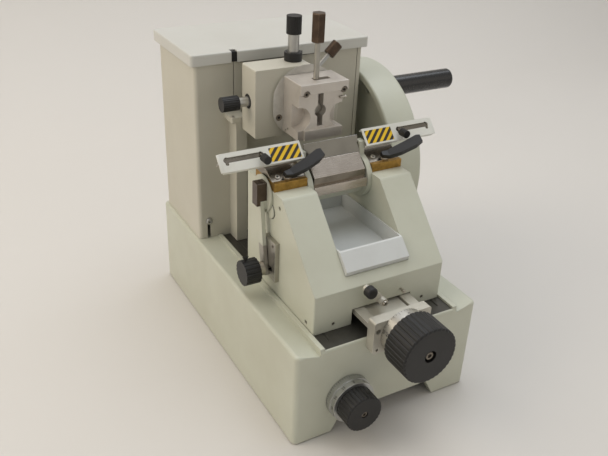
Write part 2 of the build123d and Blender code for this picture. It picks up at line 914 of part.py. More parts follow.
# Knife carriage: a nose, two sloping arms and the tray space between them
with BuildPart() as carriage:
    with BuildSketch(Plane.YZ.offset(-carriage_half)):
        with BuildLine():
            Polyline(
                (front + carriage_front, seat),
                (front + carriage_front, nose_height),
                (front + arm_front, arm_top - 1.5),
                (front + arm_front + 2, arm_top),
                (front + carriage_back, arm_top),
                (front + carriage_back, seat),
                close=True,
            )
        make_face()
    extrude(amount=2 * carriage_half)
    fillet(carriage.edges().filter_by(Axis.Z).group_by(Axis.Y)[0], 2)
    # Space between the arms
    with BuildSketch(Plane.YZ.offset(-arm_inner)):
        with Locations((front + carriage_front, tray_floor)):
            Rectangle(
                carriage_back - carriage_front + 1,
                arm_top - tray_floor + 1,
                align=(Align.MIN, Align.MIN),
            )
    extrude(amount=2 * arm_inner, mode=Mode.SUBTRACT)
    # Window in the nose for the feed bracket
    with BuildSketch(Plane.XZ.offset(-front - carriage_front + 1)):
        with Locations((window_left, seat - 1)):
            Rectangle(
                window_right - window_left,
                window_top - seat + 1,
                align=(Align.MIN, Align.MIN),
            )
    extrude(amount=-(window_depth + 1), mode=Mode.SUBTRACT)
    # Tunnel for the feed screw and its nut
    with BuildSketch(Plane.XZ.offset(-front - window_back + 1)):
        with Locations((feed_x, seat - 1)):
            Rectangle(
                2 * screw_radius + 6,
                feed_z - seat + screw_radius + 5,
                align=(Align.CENTER, Align.MIN),
            )
    extrude(amount=-90, mode=Mode.SUBTRACT)
    # Round seats for the knife holder's cheeks
    for side in (-1, 1):
        with BuildSketch(Plane.YZ.offset(side * (arm_inner - 1))):
            with Locations((axis_y, tilt_z)):
                Circle(cheek_radius + seat_gap)
        extrude(amount=side * (cheek_outer + seat_gap - arm_inner + 1), mode=Mode.SUBTRACT)
    # Pivot bores: through the left arm, blind in the right one
    with BuildSketch(Plane.YZ.offset(-carriage_half - 1)):
        with Locations((axis_y, tilt_z)):
            Circle(stub_radius + running)
    extrude(amount=carriage_half + arm_inner + 37, mode=Mode.SUBTRACT)
    # Screw holes in the nose and the side
    with BuildSketch(Plane.XZ.offset(-front - carriage_front + 1)):
        with Locations((-nose_hole_x, seat + nose_hole_up), (nose_hole_x, seat + nose_hole_up)):
            Circle(2.4)
    extrude(amount=-9, mode=Mode.SUBTRACT)
    with BuildSketch(Plane.YZ.offset(-carriage_half - 1)):
        with Locations(
            (front + carriage_front + 18, seat + nose_hole_up),
            (front + arm_front + 6.5, arm_top - 14.5),
        ):
            Circle(2.8)
    extrude(amount=9, mode=Mode.SUBTRACT)
carriage.part.label = "carriage"
export_step(carriage.part, "parts/carriage.step")

with BuildPart() as feed_nut:
    with BuildSketch(Plane.XZ.offset(-front - window_back - 4)):
        with Locations((feed_x, seat)):
            Rectangle(
                2 * screw_radius + 6,
                feed_z - seat + screw_radius + 4,
                align=(Align.CENTER, Align.MIN),
            )
        with Locations((feed_x, feed_z)):
            Circle(screw_radius + running, mode=Mode.SUBTRACT)
    extrude(amount=-nut_length)
feed_nut.part.label = "feed_nut"
export_step(feed_nut.part, "parts/feed_nut.step")

# Brass slips and steel saddles on the arms
with BuildPart() as brass_slips:
    with BuildSketch(Plane.XY.offset(arm_top)):
        for side in (-1, 1):
            with Locations((side * (cheek_outer + 0.6), front + slip_front)):
                Rectangle(
                    saddle_out - cheek_outer - 0.6,
                    slip_depth,
                    align=(Align.MAX if side < 0 else Align.MIN, Align.MIN),
                )
    extrude(amount=slip_height)
brass_slips.part.label = "brass_slips"
export_step(brass_slips.part, "parts/brass_slips.step")

with BuildPart() as clamp_saddles:
    for side in (-1, 1):
        with BuildSketch(Plane.YZ.offset(side * (cheek_outer + 0.6))):
            with BuildLine():
                Polyline(
                    (front + saddle_front, slip_top),
                    (front + saddle_front + saddle_run, slip_top + saddle_rise),
                    (front + slip_front + slip_depth - 2, slip_top + saddle_rise),
                    (front + slip_front + slip_depth - 2, slip_top),
                    close=True,
                )
            make_face()
        extrude(amount=side * (saddle_out - cheek_outer - 0.6))
clamp_saddles.part.label = "clamp_saddles"
export_step(clamp_saddles.part, "parts/clamp_saddles.step")


def paddle(x, turn):
    """Clamp lever on a saddle: a round foot and a thumb blade that climbs towards its tip."""
    foot = Plane(
        origin=(x, front + saddle_front + 3, slip_top + 3 * tan(radians(saddle_angle))),
        x_dir=(1, 0, 0),
        z_dir=(0, -sin(radians(saddle_angle)), cos(radians(saddle_angle))),
    ).rotated((0, 0, turn))
    side_view = Plane(origin=foot.origin, x_dir=foot.x_dir, z_dir=-foot.y_dir)
    tip = paddle_rise + paddle_climb
    with BuildPart() as lever:
        with BuildSketch(side_view.offset(-paddle_width)):
            with BuildLine():
                Polyline(
                    (-7, paddle_rise),
                    (6, paddle_rise),
                    (paddle_length, tip),
                    (paddle_length - 3, tip + paddle_thick),
                    (3, paddle_rise + paddle_thick),
                    (-7, paddle_rise + paddle_thick),
                    close=True,
                )
            make_face()
        extrude(amount=2 * paddle_width)
        # Trimmed to its outline seen from above, a little fuller on the near side
        with BuildSketch(foot):
            with BuildLine():
                Polyline(
                    (-6, -3),
                    (-6, 3),
                    (8, 0.33 * paddle_width),
                    (0.55 * paddle_length, 0.4 * paddle_width),
                    (0.85 * paddle_length, 0.5 * paddle_width),
                    (paddle_length, 0.25 * paddle_width),
                    (paddle_length, -0.25 * paddle_width),
                    (0.8 * paddle_length, -0.5 * paddle_width),
                    (0.4 * paddle_length, -0.53 * paddle_width),
                    (8, -0.4 * paddle_width),
                    close=True,
                )
            make_face()
        extrude(amount=tip + 3 * paddle_thick, mode=Mode.INTERSECT)
        with BuildSketch(foot.offset(0.3)):
            Circle(3)
        extrude(amount=paddle_rise)
    return lever.part


left_paddle = paddle(-paddle_x, left_turn)
left_paddle.label = "left_paddle"
export_step(left_paddle, "parts/left_paddle.step")
right_paddle = paddle(paddle_x, right_turn)
right_paddle.label = "right_paddle"
export_step(right_paddle, "parts/right_paddle.step")


# Knife holder: two cheeks with ears, a bridge and the pivot stubs
with BuildPart() as knife_holder:
    for side in (-1, 1):
        with BuildSketch(Plane.YZ.offset(side * cheek_inner)):
            with Locations((axis_y, tilt_z)):
                Circle(cheek_radius)
            with Locations((axis_y, tilt_z + cheek_radius - 8)):
                Rectangle(
                    ear_width,
                    ear_top - tilt_z - cheek_radius + 8,
                    align=(Align.CENTER, Align.MIN),
                )
        extrude(amount=side * (cheek_outer - cheek_inner))
    with BuildSketch(Plane.YZ.offset(-cheek_inner)):
        with BuildLine():
            Polyline(
                (front + jaw_front, rest_z - 12),
                (front + jaw_front, rest_z),
                (front + edge_y - 1, rest_z),
                (front + edge_y - 1, rest_z - 28),
                (front + edge_y - 13, rest_z - 28),
                close=True,
            )
        make_face()
    extrude(amount=2 * cheek_inner)
    with BuildSketch(Plane.YZ.offset(-cheek_outer)):
        with Locations((axis_y, tilt_z)):
            Circle(stub_radius)
    extrude(amount=-(carriage_half + 0.5 - cheek_outer))
    with BuildSketch(Plane.YZ.offset(cheek_outer)):
        with Locations((axis_y, tilt_z)):
            Circle(stub_radius)
    extrude(amount=arm_inner + right_stub - cheek_outer)
knife_holder.part.label = "knife_holder"
export_step(knife_holder.part, "parts/knife_holder.step")

with BuildPart() as front_bar:
    with BuildSketch(Plane.YZ.offset(-jaw_half - 1.5)):
        with Locations((front + jaw_front, rest_z - bar_drop)):
            Rectangle(bar_depth, bar_height, align=(Align.MAX, Align.MIN))
    extrude(amount=2 * jaw_half + 3)
front_bar.part.label = "front_bar"
export_step(front_bar.part, "parts/front_bar.step")

knife_low = edge_z - knife_height
with BuildPart() as knife:
    with BuildSketch(Plane.YZ.offset(-knife_half)):
        with BuildLine():
            Polyline(
                (front + edge_y, edge_z),
                (front + edge_y - 0.49 * knife_thick, edge_z - 0.4 * knife_height),
                (front + edge_y - 1 - knife_thick, knife_low),
                (front + edge_y - 1, knife_low),
                close=True,
            )
        make_face()
    extrude(amount=2 * knife_half)
knife.part.label = "knife"
export_step(knife.part, "parts/knife.step")

with BuildPart() as knife_rest:
    with BuildSketch(Plane.YZ.offset(-jaw_half)):
        with Locations((front + edge_y - 1, rest_z)):
            Rectangle(knife_thick + 2, knife_low - rest_z, align=(Align.MAX, Align.MIN))
    extrude(amount=2 * jaw_half)
knife_rest.part.label = "knife_rest"
export_step(knife_rest.part, "parts/knife_rest.step")

jaw_depth = edge_y - 3 - knife_thick - jaw_front
with BuildPart() as lower_jaw:
    with BuildSketch(Plane.YZ.offset(-jaw_half)):
        with Locations((front + jaw_front, rest_z)):
            Rectangle(jaw_depth, knife_low - rest_z, align=(Align.MIN, Align.MIN))
    extrude(amount=2 * jaw_half)
lower_jaw.part.label = "lower_jaw"
export_step(lower_jaw.part, "parts/lower_jaw.step")

with BuildPart() as pressure_plate:
    with BuildSketch(Plane.YZ.offset(-jaw_half)):
        with BuildLine():
            Polyline(
                (front + jaw_front, knife_low),
                (front + edge_y - plate_set, knife_low + plate_rise),
                (front + edge_y - plate_set + plate_edge, knife_low + plate_rise),
                (front + edge_y - plate_clear - knife_thick, knife_low),
                close=True,
            )
        make_face()
    extrude(amount=2 * jaw_half)
pressure_plate.part.label = "pressure_plate"
export_step(pressure_plate.part, "parts/pressure_plate.step")


# Edge guards: folded strips that slide on rails over the knife's ends
def guard_point(up, into):
    """Point of the guard's cross-section, up along its face and into it."""
    return (
        front + guard_low_y + up * sin(radians(guard_angle)) + into * cos(radians(guard_angle)),
        guard_low_z + up * cos(radians(guard_angle)) - into * sin(radians(guard_angle)),
    )


def guard_plane(up, into):
    """Plane square to the guard's face at a height up along it."""
    return Plane(
        origin=(0, *guard_point(up, into)),
        x_dir=(1, 0, 0),
        z_dir=(0, -cos(radians(guard_angle)), sin(radians(guard_angle))),
    )


pin_y, pin_z = guard_point(guard_pin_up, guard_sheet + 1)
pin_drop = (guard_sheet / 2 + 1) * tan(radians(guard_angle))
with BuildPart() as guard_rails:
    for side in (-1, 1):
        with BuildSketch(Plane.YZ.offset(side * cheek_outer)):
            with BuildLine():
                Polyline(
                    guard_point(guard_sheet + 1.5, guard_sheet + 0.4),
                    guard_point(guard_face - guard_sheet - 1.5, guard_sheet + 0.4),
                    guard_point(guard_face - guard_sheet - 1.5, guard_flange),
                    guard_point(guard_sheet + 1.5, guard_flange),
                    close=True,
                )
            make_face()
        extrude(amount=side * (guard_start + guard_length - cheek_outer - 3))
    # Pins through the guards' slots
    with BuildSketch(Plane.XZ.offset(-pin_y)):
        with Locations((-guard_pin_x, pin_z), (guard_pin_x, pin_z)):
            Circle(guard_pin)
    extrude(amount=guard_pin_length + 1)
guard_rails.part.label = "guard_rails"
export_step(guard_rails.part, "parts/guard_rails.step")


def guard(side):
    """Folded guard strip with a slot that its pin runs in."""
    with BuildPart() as strip:
        with BuildSketch(Plane.YZ.offset(side * guard_start)):
            with BuildLine():
                Polyline(
                    guard_point(0, guard_flange),
                    guard_point(0, 0),
                    guard_point(guard_face, 0),
                    guard_point(guard_face, guard_flange),
                    guard_point(guard_face - guard_sheet, guard_flange),
                    guard_point(guard_face - guard_sheet, guard_sheet),
                    guard_point(guard_sheet, guard_sheet),
                    guard_point(guard_sheet, guard_flange),
                    close=True,
                )
            make_face()
        extrude(amount=side * guard_length)
        # Slot for the pin, with a short leg down at each end
        with BuildSketch(guard_plane(guard_pin_up, -1)):
            with Locations((side * (guard_pin_x + guard_travel / 2), -pin_drop)):
                SlotCenterToCenter(guard_travel + 1, guard_slot)
            for stop in (guard_pin_x, guard_pin_x + guard_travel):
                with Locations((side * stop, -guard_leg / 2)):
                    SlotCenterToCenter(guard_leg, guard_slot - 2, rotation=90)
        extrude(amount=-(guard_sheet + 2), mode=Mode.SUBTRACT)
    return strip.part


left_guard = guard(-1)
left_guard.label = "left_guard"
export_step(left_guard, "parts/left_guard.step")
right_guard = guard(1)
right_guard.label = "right_guard"
export_step(right_guard, "parts/right_guard.step")

with BuildPart() as guard_knobs:
    for side in (-1, 1):
        with BuildSketch(Plane.XZ.offset(-pin_y + guard_pin_length + 1)):
            with Locations((side * guard_pin_x, pin_z)):
                add(fluted(guard_knob, 14, 0.6))
        extrude(amount=guard_knob_length)
guard_knobs.part.label = "guard_knobs"
export_step(guard_knobs.part, "parts/guard_knobs.step")


# Tilt lever on the left with its shoe, scale and lock knob
with BuildPart() as tilt_lever:
    with BuildSketch(Plane.YZ.offset(-carriage_half - 0.5)):
        with Locations((axis_y, tilt_z)):
            Circle(boss_radius)
    extrude(amount=-boss_thick)
    with BuildSketch(Plane.YZ.offset(-carriage_half - scale_thick - 0.6)):
        with BuildLine():
            Polyline(
                (axis_y - 13, tilt_z - 6),
                (axis_y - 1, tilt_z - 6),
                (front + stud_y + lever_width / 2 + 7, stud_z + 32),
                (front + stud_y - lever_width / 2 + 7, stud_z + 32),
                close=True,
            )
        make_face()
    extrude(amount=-(lever_out - carriage_half - scale_thick - 0.6))
    with BuildSketch(Plane.YZ.offset(-carriage_half - 0.5)):
        with Locations((axis_y - 7, tilt_z - 10)):
            Rectangle(lever_width, lever_width)
    extrude(amount=-(lever_out - carriage_half - 0.5))
tilt_lever.part.label = "tilt_lever"
export_step(tilt_lever.part, "parts/tilt_lever.step")

with BuildPart() as lever_shoe:
    # Steel foot of the lever, with the stud in the scale's arc
    with BuildSketch(Plane.YZ.offset(-carriage_half - scale_thick - 0.6)):
        with BuildLine():
            Polyline(
                (front + stud_y - lever_width / 2 + 7, stud_z + 32),
                (front + stud_y + lever_width / 2 + 7, stud_z + 32),
                (front + stud_y + lever_width / 2, stud_z - 8),
                (front + stud_y - lever_width / 2, stud_z - 8),
                close=True,
            )
        make_face()
    extrude(amount=-(lever_out - carriage_half - scale_thick - 0.6))
    with BuildSketch(Plane.YZ.offset(-carriage_half - 1)):
        with Locations((front + stud_y, stud_z)):
            Circle(stud_radius)
    extrude(amount=-(tilt_knob_left - carriage_half - 1))
lever_shoe.part.label = "lever_shoe"
export_step(lever_shoe.part, "parts/lever_shoe.step")

with BuildPart() as lever_block:
    with BuildSketch(Plane.YZ.offset(-lever_out)):
        with Locations((axis_y - 7, tilt_z - 10)):
            Rectangle(lever_width + 1, 30, align=(Align.CENTER, Align.MIN))
    extrude(amount=-(shoe_out - lever_out))
    with BuildSketch(Plane.YZ.offset(-carriage_half - 0.5 - boss_thick)):
        with Locations((axis_y - 7, tilt_z - 4)):
            Rectangle(lever_width + 1, 24, align=(Align.CENTER, Align.MIN))
    extrude(amount=-(lever_out - carriage_half - 0.5 - boss_thick))
lever_block.part.label = "lever_block"
export_step(lever_block.part, "parts/lever_block.step")

stud_angle = degrees(atan2(stud_z - tilt_z, stud_y - tilt_y))
arc_radius = sqrt((tilt_y - stud_y) ** 2 + (tilt_z - stud_z) ** 2)
with BuildPart() as angle_scale:
    with BuildSketch(Plane.YZ.offset(-carriage_half)):
        with Locations((front + stud_y - scale_width + 10, stud_z - 12)):
            Rectangle(scale_width, scale_height, align=(Align.MIN, Align.MIN))
    extrude(amount=-scale_thick)
    # Arc for the stud, about the tilt axis
    with BuildSketch(Plane.YZ.offset(-carriage_half + 1)):
        with BuildLine():
            near_arc = CenterArc((axis_y, tilt_z), arc_radius - stud_radius - 0.3, stud_angle - 8, 10.5)
            far_arc = CenterArc((axis_y, tilt_z), arc_radius + stud_radius + 0.3, stud_angle - 8, 10.5)
            Line(near_arc @ 0, far_arc @ 0)
            Line(near_arc @ 1, far_arc @ 1)
        make_face()
    extrude(amount=-(scale_thick + 2), mode=Mode.SUBTRACT)
angle_scale.part.label = "angle_scale"
export_step(angle_scale.part, "parts/angle_scale.step")

with BuildPart() as tilt_knob:
    with BuildSketch(Plane.YZ.offset(-tilt_knob_left)):
        with Locations((front + stud_y, stud_z)):
            add(fluted(tilt_knob_radius, 18, 1.4))
    extrude(amount=-tilt_knob_length)
    with BuildSketch(Plane.YZ.offset(-lever_out - 0.3)):
        with Locations((front + stud_y, stud_z)):
            Circle(8.5)
    extrude(amount=-(tilt_knob_left - lever_out - 0.3))
    with BuildSketch(Plane.YZ.offset(-lever_out - 0.2)):
        with Locations((front + stud_y, stud_z)):
            Circle(stud_radius + running)
    extrude(amount=-(tilt_knob_left - lever_out), mode=Mode.SUBTRACT)
tilt_knob.part.label = "tilt_knob"
export_step(tilt_knob.part, "parts/tilt_knob.step")


# Waste tray that slides out between the arms
with BuildPart() as waste_tray:
    with BuildSketch(Plane.YZ.offset(-tray_half)):
        with BuildLine():
            Polyline(
                (front + tray_front + 2.5, tray_low),
                (front + tray_front, tray_low + 6.5),
                (front + tray_front + 18.5, tray_top - 0.8),
                (front + tray_front + 20.5, tray_top),
                (front + tray_back, tray_top),
                (front + tray_back, tray_low),
                close=True,
            )
        make_face()
    extrude(amount=2 * tray_half)
    with BuildSketch(Plane.YZ.offset(-tray_half + tray_sheet)):
        with BuildLine():
            Polyline(
                (front + tray_front + 4, tray_low + tray_sheet + 0.5),
                (front + tray_front + 3.2, tray_low + 6.8),
                (front + tray_front + 20.6, tray_top - 1),
                (front + tray_front + 21.6, tray_top + 1),
                (front + tray_back - tray_sheet, tray_top + 1),
                (front + tray_back - tray_sheet, tray_low + tray_sheet + 0.5),
                close=True,
            )
        make_face()
    extrude(amount=2 * (tray_half - tray_sheet), mode=Mode.SUBTRACT)
waste_tray.part.label = "waste_tray"
export_step(waste_tray.part, "parts/waste_tray.step")


# Coarse feed: a bracket bolted to the base and a screw that drives the carriage
with BuildPart() as feed_bracket:
    with BuildSketch(Plane.XZ.offset(-front)):
        with Locations((bracket_left, bracket_bottom)):
            Rectangle(
                bracket_right - bracket_left,
                bracket_top - bracket_bottom,
                align=(Align.MIN, Align.MIN),
            )
    extrude(amount=bracket_thick)
    fillet(feed_bracket.edges().filter_by(Axis.Y), 3)
    with BuildSketch(Plane.XY.offset(feed_z + screw_radius + 1)):
        with Locations((bracket_left + 0.5, front)):
            Rectangle(bracket_arm, bracket_reach, align=(Align.MIN, Align.MIN))
        with Locations((bracket_right - 0.5, front)):
            Rectangle(bracket_arm, bracket_reach, align=(Align.MAX, Align.MIN))
    extrude(amount=7)
    with BuildSketch(Plane.XY.offset(feed_z + screw_radius + 1)):
        with Locations((feed_x, front)):
            Rectangle(bracket_foot, bracket_foot_depth, align=(Align.CENTER, Align.MIN))
    extrude(amount=bracket_foot_thick)
    with BuildSketch(Plane.XZ.offset(-front - 1)):
        with Locations((feed_x, feed_z)):
            Circle(screw_radius + running)
    extrude(amount=bracket_thick + 2, mode=Mode.SUBTRACT)
    # Mounting screw and pin holes on the left of the plate
    with BuildSketch(Plane.XZ.offset(-front + bracket_thick + 1)):
        with Locations((bracket_left + 6.5, bracket_top - 13.5)):
            Circle(3.5)
        with Locations((bracket_left + 6.5, bracket_bottom + 5)):
            Circle(2)
    extrude(amount=-9, mode=Mode.SUBTRACT)
feed_bracket.part.label = "feed_bracket"
export_step(feed_bracket.part, "parts/feed_bracket.step")

with BuildPart() as feed_screw:
    with BuildSketch(Plane.XZ.offset(-front + bracket_thick + feed_dial_length + 2)):
        with Locations((feed_x, feed_z)):
            Circle(screw_radius)
    extrude(amount=-(bracket_thick + feed_dial_length + 2 + screw_end))
feed_screw.part.label = "feed_screw"
export_step(feed_screw.part, "parts/feed_screw.step")

with BuildPart() as feed_dial:
    with BuildSketch(Plane.XZ.offset(-front + bracket_thick + 0.3)):
        with Locations((feed_x, feed_z)):
            Circle(feed_dial_radius)
            Circle(screw_radius, mode=Mode.SUBTRACT)
    extrude(amount=feed_dial_length - 0.3)
    chamfer(feed_dial.faces().sort_by(Axis.Y)[0].outer_wire().edges(), 1)
feed_dial.part.label = "feed_dial"
export_step(feed_dial.part, "parts/feed_dial.step")

with BuildPart() as feed_knob:
    with BuildSketch(Plane.XZ.offset(-front + bracket_thick + feed_dial_length + 1)):
        with Locations((feed_x, feed_z)):
            add(fluted(feed_knob_radius, feed_flutes, 1.5))
    extrude(amount=feed_knob_length)
    chamfer(feed_knob.faces().sort_by(Axis.Y)[0].outer_wire().edges(), feed_knob_edge)
    # Neck to the dial, shallow round recess and the screw's socket in the face
    with BuildSketch(Plane.XZ.offset(-front + bracket_thick + feed_dial_length)):
        with Locations((feed_x, feed_z)):
            Circle(feed_dial_radius - 3)
            Circle(screw_radius, mode=Mode.SUBTRACT)
    extrude(amount=2)
    with BuildSketch(Plane.XZ.offset(-front + bracket_thick + feed_dial_length)):
        with Locations((feed_x, feed_z)):
            Circle(screw_radius)
    extrude(amount=2, mode=Mode.SUBTRACT)
    with BuildSketch(Plane.XZ.offset(-front + bracket_thick + feed_dial_length + 2 + feed_knob_length)):
        with Locations((feed_x, feed_z)):
            Circle(8)
    extrude(amount=-8, mode=Mode.SUBTRACT)
feed_knob.part.label = "feed_knob"
export_step(feed_knob.part, "parts/feed_knob.step")


# Latch arm on the carriage's nose, with a small black knob
with BuildPart() as latch_arm:
    with BuildSketch(Plane.XZ.offset(-front - carriage_front)):
        with Locations((latch_x, latch_z)):
            Circle(latch_radius)
    extrude(amount=21)
    arm_dx = latch_knob_x - latch_x
    arm_dz = latch_knob_z - latch_z
    with BuildSketch(Plane.XZ.offset(-front - carriage_front + 8)):
        with Locations(((latch_x + latch_knob_x) / 2, (latch_z + latch_knob_z) / 2)):
            SlotCenterToCenter(
                sqrt(arm_dx**2 + arm_dz**2),
                2 * latch_radius,
                rotation=degrees(atan2(arm_dz, arm_dx)),
            )
    extrude(amount=6)
latch_arm.part.label = "latch_arm"
export_step(latch_arm.part, "parts/latch_arm.step")

with BuildPart() as latch_knob:
    with BuildSketch(Plane.XZ.offset(-front - carriage_front + 14)):
        with Locations((latch_knob_x, latch_knob_z)):
            Circle(latch_knob_radius)
    extrude(amount=10)
    fillet(latch_knob.faces().sort_by(Axis.Y)[0].edges(), 3)
latch_knob.part.label = "latch_knob"
export_step(latch_knob.part, "parts/latch_knob.step")


# Section thickness dial, knob and spindle
with BuildPart() as thickness_dial:
    with BuildSketch(Plane.XZ.offset(-front + 0.3)):
        with Locations((dial_x, dial_z)):
            Circle(dial_radius)
    extrude(amount=dial_length / 2)
    with BuildSketch(Plane.XZ.offset(-front + dial_length / 2)):
        with Locations((dial_x, dial_z)):
            Circle(dial_radius - 1)
    extrude(amount=dial_length / 2)
    with BuildSketch(Plane.XZ.offset(-front + 0.3)):
        with Locations((dial_x, dial_z)):
            Circle(dial_shaft)
    extrude(amount=-(base_wall + 6))
thickness_dial.part.label = "thickness_dial"
export_step(thickness_dial.part, "parts/thickness_dial.step")

with BuildPart() as thickness_knob:
    with BuildSketch(Plane.XZ.offset(-front + dial_length)):
        with Locations((dial_x, dial_z)):
            add(fluted(dial_knob_radius, 28, 1.1))
    extrude(amount=dial_knob_length)
    chamfer(thickness_knob.faces().sort_by(Axis.Y)[0].outer_wire().edges(), dial_knob_edge)
    with BuildSketch(Plane.XZ.offset(-front + dial_length + dial_knob_length + 1)):
        with Locations((dial_x, dial_z)):
            Circle(4.4)
    extrude(amount=-7, mode=Mode.SUBTRACT)
thickness_knob.part.label = "thickness_knob"
export_step(thickness_knob.part, "parts/thickness_knob.step")


# Handwheel: a rim, a thin web and a hub, turned as one casting
with BuildPart() as handwheel:
    with BuildSketch(Plane.YZ.offset(wheel_left)):
        with Locations((wheel_axis_y, wheel_z)):
            Circle(wheel_radius)
    extrude(amount=wheel_width)
    fillet(handwheel.edges().group_by(Axis.X)[-1], 5)
    fillet(handwheel.edges().group_by(Axis.X)[0], 3)
    with BuildSketch(Plane.YZ.offset(wheel_left)):
        with Locations((wheel_axis_y, wheel_z)):
            Circle(wheel_radius - wheel_rim)
    extrude(amount=web_left - wheel_left, mode=Mode.SUBTRACT, taper=6)
    with BuildSketch(Plane.YZ.offset(wheel_left + wheel_width)):
        with Locations((wheel_axis_y, wheel_z)):
            Circle(wheel_radius - wheel_rim)
    extrude(amount=-(wheel_left + wheel_width - web_left - web_thick), mode=Mode.SUBTRACT, taper=6)
    with BuildSketch(Plane.YZ.offset(hub_left)):
        with Locations((wheel_axis_y, wheel_z)):
            Circle(hub_radius)
    extrude(amount=hub_right - nut_thick - hub_left)
    # Boss for the grip's spindle
    with BuildSketch(Plane.YZ.offset(web_left + web_thick)):
        with Locations(grip_place):
            Circle(grip_radius - 1.5)
    extrude(amount=grip_left - 1.5 - web_left - web_thick)
    with BuildSketch(Plane.YZ.offset(hub_left - 1)):
        with Locations((wheel_axis_y, wheel_z)):
            Circle(shaft_radius)
    extrude(amount=hub_right - hub_left, mode=Mode.SUBTRACT)
    with BuildSketch(Plane.YZ.offset(web_left)):
        with Locations(grip_place):
            Circle(grip_spindle)
    extrude(amount=grip_left - web_left, mode=Mode.SUBTRACT)
handwheel.part.label = "handwheel"
export_step(handwheel.part, "parts/handwheel.step")

with BuildPart() as crankshaft:
    with BuildSketch(Plane.YZ.offset(crank_left)):
        with Locations((wheel_axis_y, wheel_z)):
            Circle(crank_radius)
    extrude(amount=crank_thick)
    with BuildSketch(Plane.YZ.offset(crank_left + crank_thick)):
        with Locations((wheel_axis_y, wheel_z)):
            Circle(shaft_radius)
    extrude(amount=hub_right - nut_thick - crank_left - crank_thick)
    # Pin at the top of its turn, just clear of the yoke
    with BuildSketch(Plane.YZ.offset(crank_left)):
        with Locations((wheel_axis_y, wheel_z + crank_throw)):
            Circle(crank_pin)
    extrude(amount=-(crank_left - yoke_x - yoke_thick - 1))
crankshaft.part.label = "crankshaft"
export_step(crankshaft.part, "parts/crankshaft.step")

with BuildPart() as wheel_nut:
    with BuildSketch(Plane.YZ.offset(hub_right - nut_thick)):
        with Locations((wheel_axis_y, wheel_z)):
            RegularPolygon(nut_radius, 6)
    extrude(amount=nut_thick)
    with BuildSketch(Plane.YZ.offset(hub_right)):
        with Locations((wheel_axis_y, wheel_z)):
            Circle(5)
    extrude(amount=1.5)
    chamfer(wheel_nut.faces().sort_by(Axis.X)[-1].edges(), 0.6)
wheel_nut.part.label = "wheel_nut"
export_step(wheel_nut.part, "parts/wheel_nut.step")

with BuildPart() as shaft_bearings:
    # Flanged bush in the housing wall and a pedestal beside the crank
    with BuildSketch(Plane.YZ.offset(housing_half - housing_wall - bush_flange)):
        with Locations((wheel_axis_y, wheel_z)):
            Circle(bearing_radius)
    extrude(amount=housing_wall + bush_flange)
    with BuildSketch(Plane.YZ.offset(housing_half - housing_wall - bush_flange)):
        with Locations((wheel_axis_y, wheel_z)):
            Circle(bearing_radius + bush_flange)
    extrude(amount=bush_flange)
    with BuildSketch(Plane.YZ.offset(pedestal_left)):
        with Locations((wheel_axis_y, base_height)):
            Rectangle(pedestal_width, wheel_z - base_height, align=(Align.CENTER, Align.MIN))
        with Locations((wheel_axis_y, wheel_z)):
            Circle(pedestal_radius)
    extrude(amount=pedestal_thick)
    with BuildSketch(Plane.YZ.offset(pedestal_left - 1)):
        with Locations((wheel_axis_y, wheel_z)):
            Circle(shaft_radius + running)
    extrude(amount=housing_half - pedestal_left + 2, mode=Mode.SUBTRACT)
shaft_bearings.part.label = "shaft_bearings"
export_step(shaft_bearings.part, "parts/shaft_bearings.step")

with BuildPart() as grip_pin:
    with BuildSketch(Plane.YZ.offset(web_left + 1)):
        with Locations(grip_place):
            Circle(grip_spindle)
    extrude(amount=grip_left + grip_length - web_left - 1 - 6)
    with BuildSketch(Plane.YZ.offset(grip_left + grip_length - 6)):
        with Locations(grip_place):
            Circle(grip_spindle + 3)
    extrude(amount=4)
grip_pin.part.label = "grip_pin"
export_step(grip_pin.part, "parts/grip_pin.step")

with BuildPart() as hand_grip:
    with BuildSketch(Plane.YZ.offset(grip_left)):
        with Locations(grip_place):
            Circle(grip_radius)
    extrude(amount=grip_length)
    fillet(hand_grip.edges().group_by(Axis.X)[-1], 4)
    fillet(hand_grip.edges().group_by(Axis.X)[0], 2)
    with BuildSketch(Plane.YZ.offset(grip_left - 1)):
        with Locations(grip_place):
            Circle(grip_spindle + running)
    extrude(amount=grip_length + 2, mode=Mode.SUBTRACT)
    with BuildSketch(Plane.YZ.offset(grip_left + grip_length - 6.3)):
        with Locations(grip_place):
            Circle(grip_spindle + 3.5)
    extrude(amount=8, mode=Mode.SUBTRACT)
hand_grip.part.label = "hand_grip"
export_step(hand_grip.part, "parts/hand_grip.step")
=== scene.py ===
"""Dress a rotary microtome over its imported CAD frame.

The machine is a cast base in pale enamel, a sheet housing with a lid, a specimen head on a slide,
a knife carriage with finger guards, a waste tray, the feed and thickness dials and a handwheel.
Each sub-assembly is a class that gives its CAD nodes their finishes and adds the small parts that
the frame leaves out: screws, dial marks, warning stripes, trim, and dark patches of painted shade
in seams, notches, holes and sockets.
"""

from __future__ import annotations

import json
import logging
import math
from collections.abc import Callable, Iterable, Sequence
from dataclasses import dataclass, field
from enum import Enum

import bpy
from mathutils import Matrix, Vector

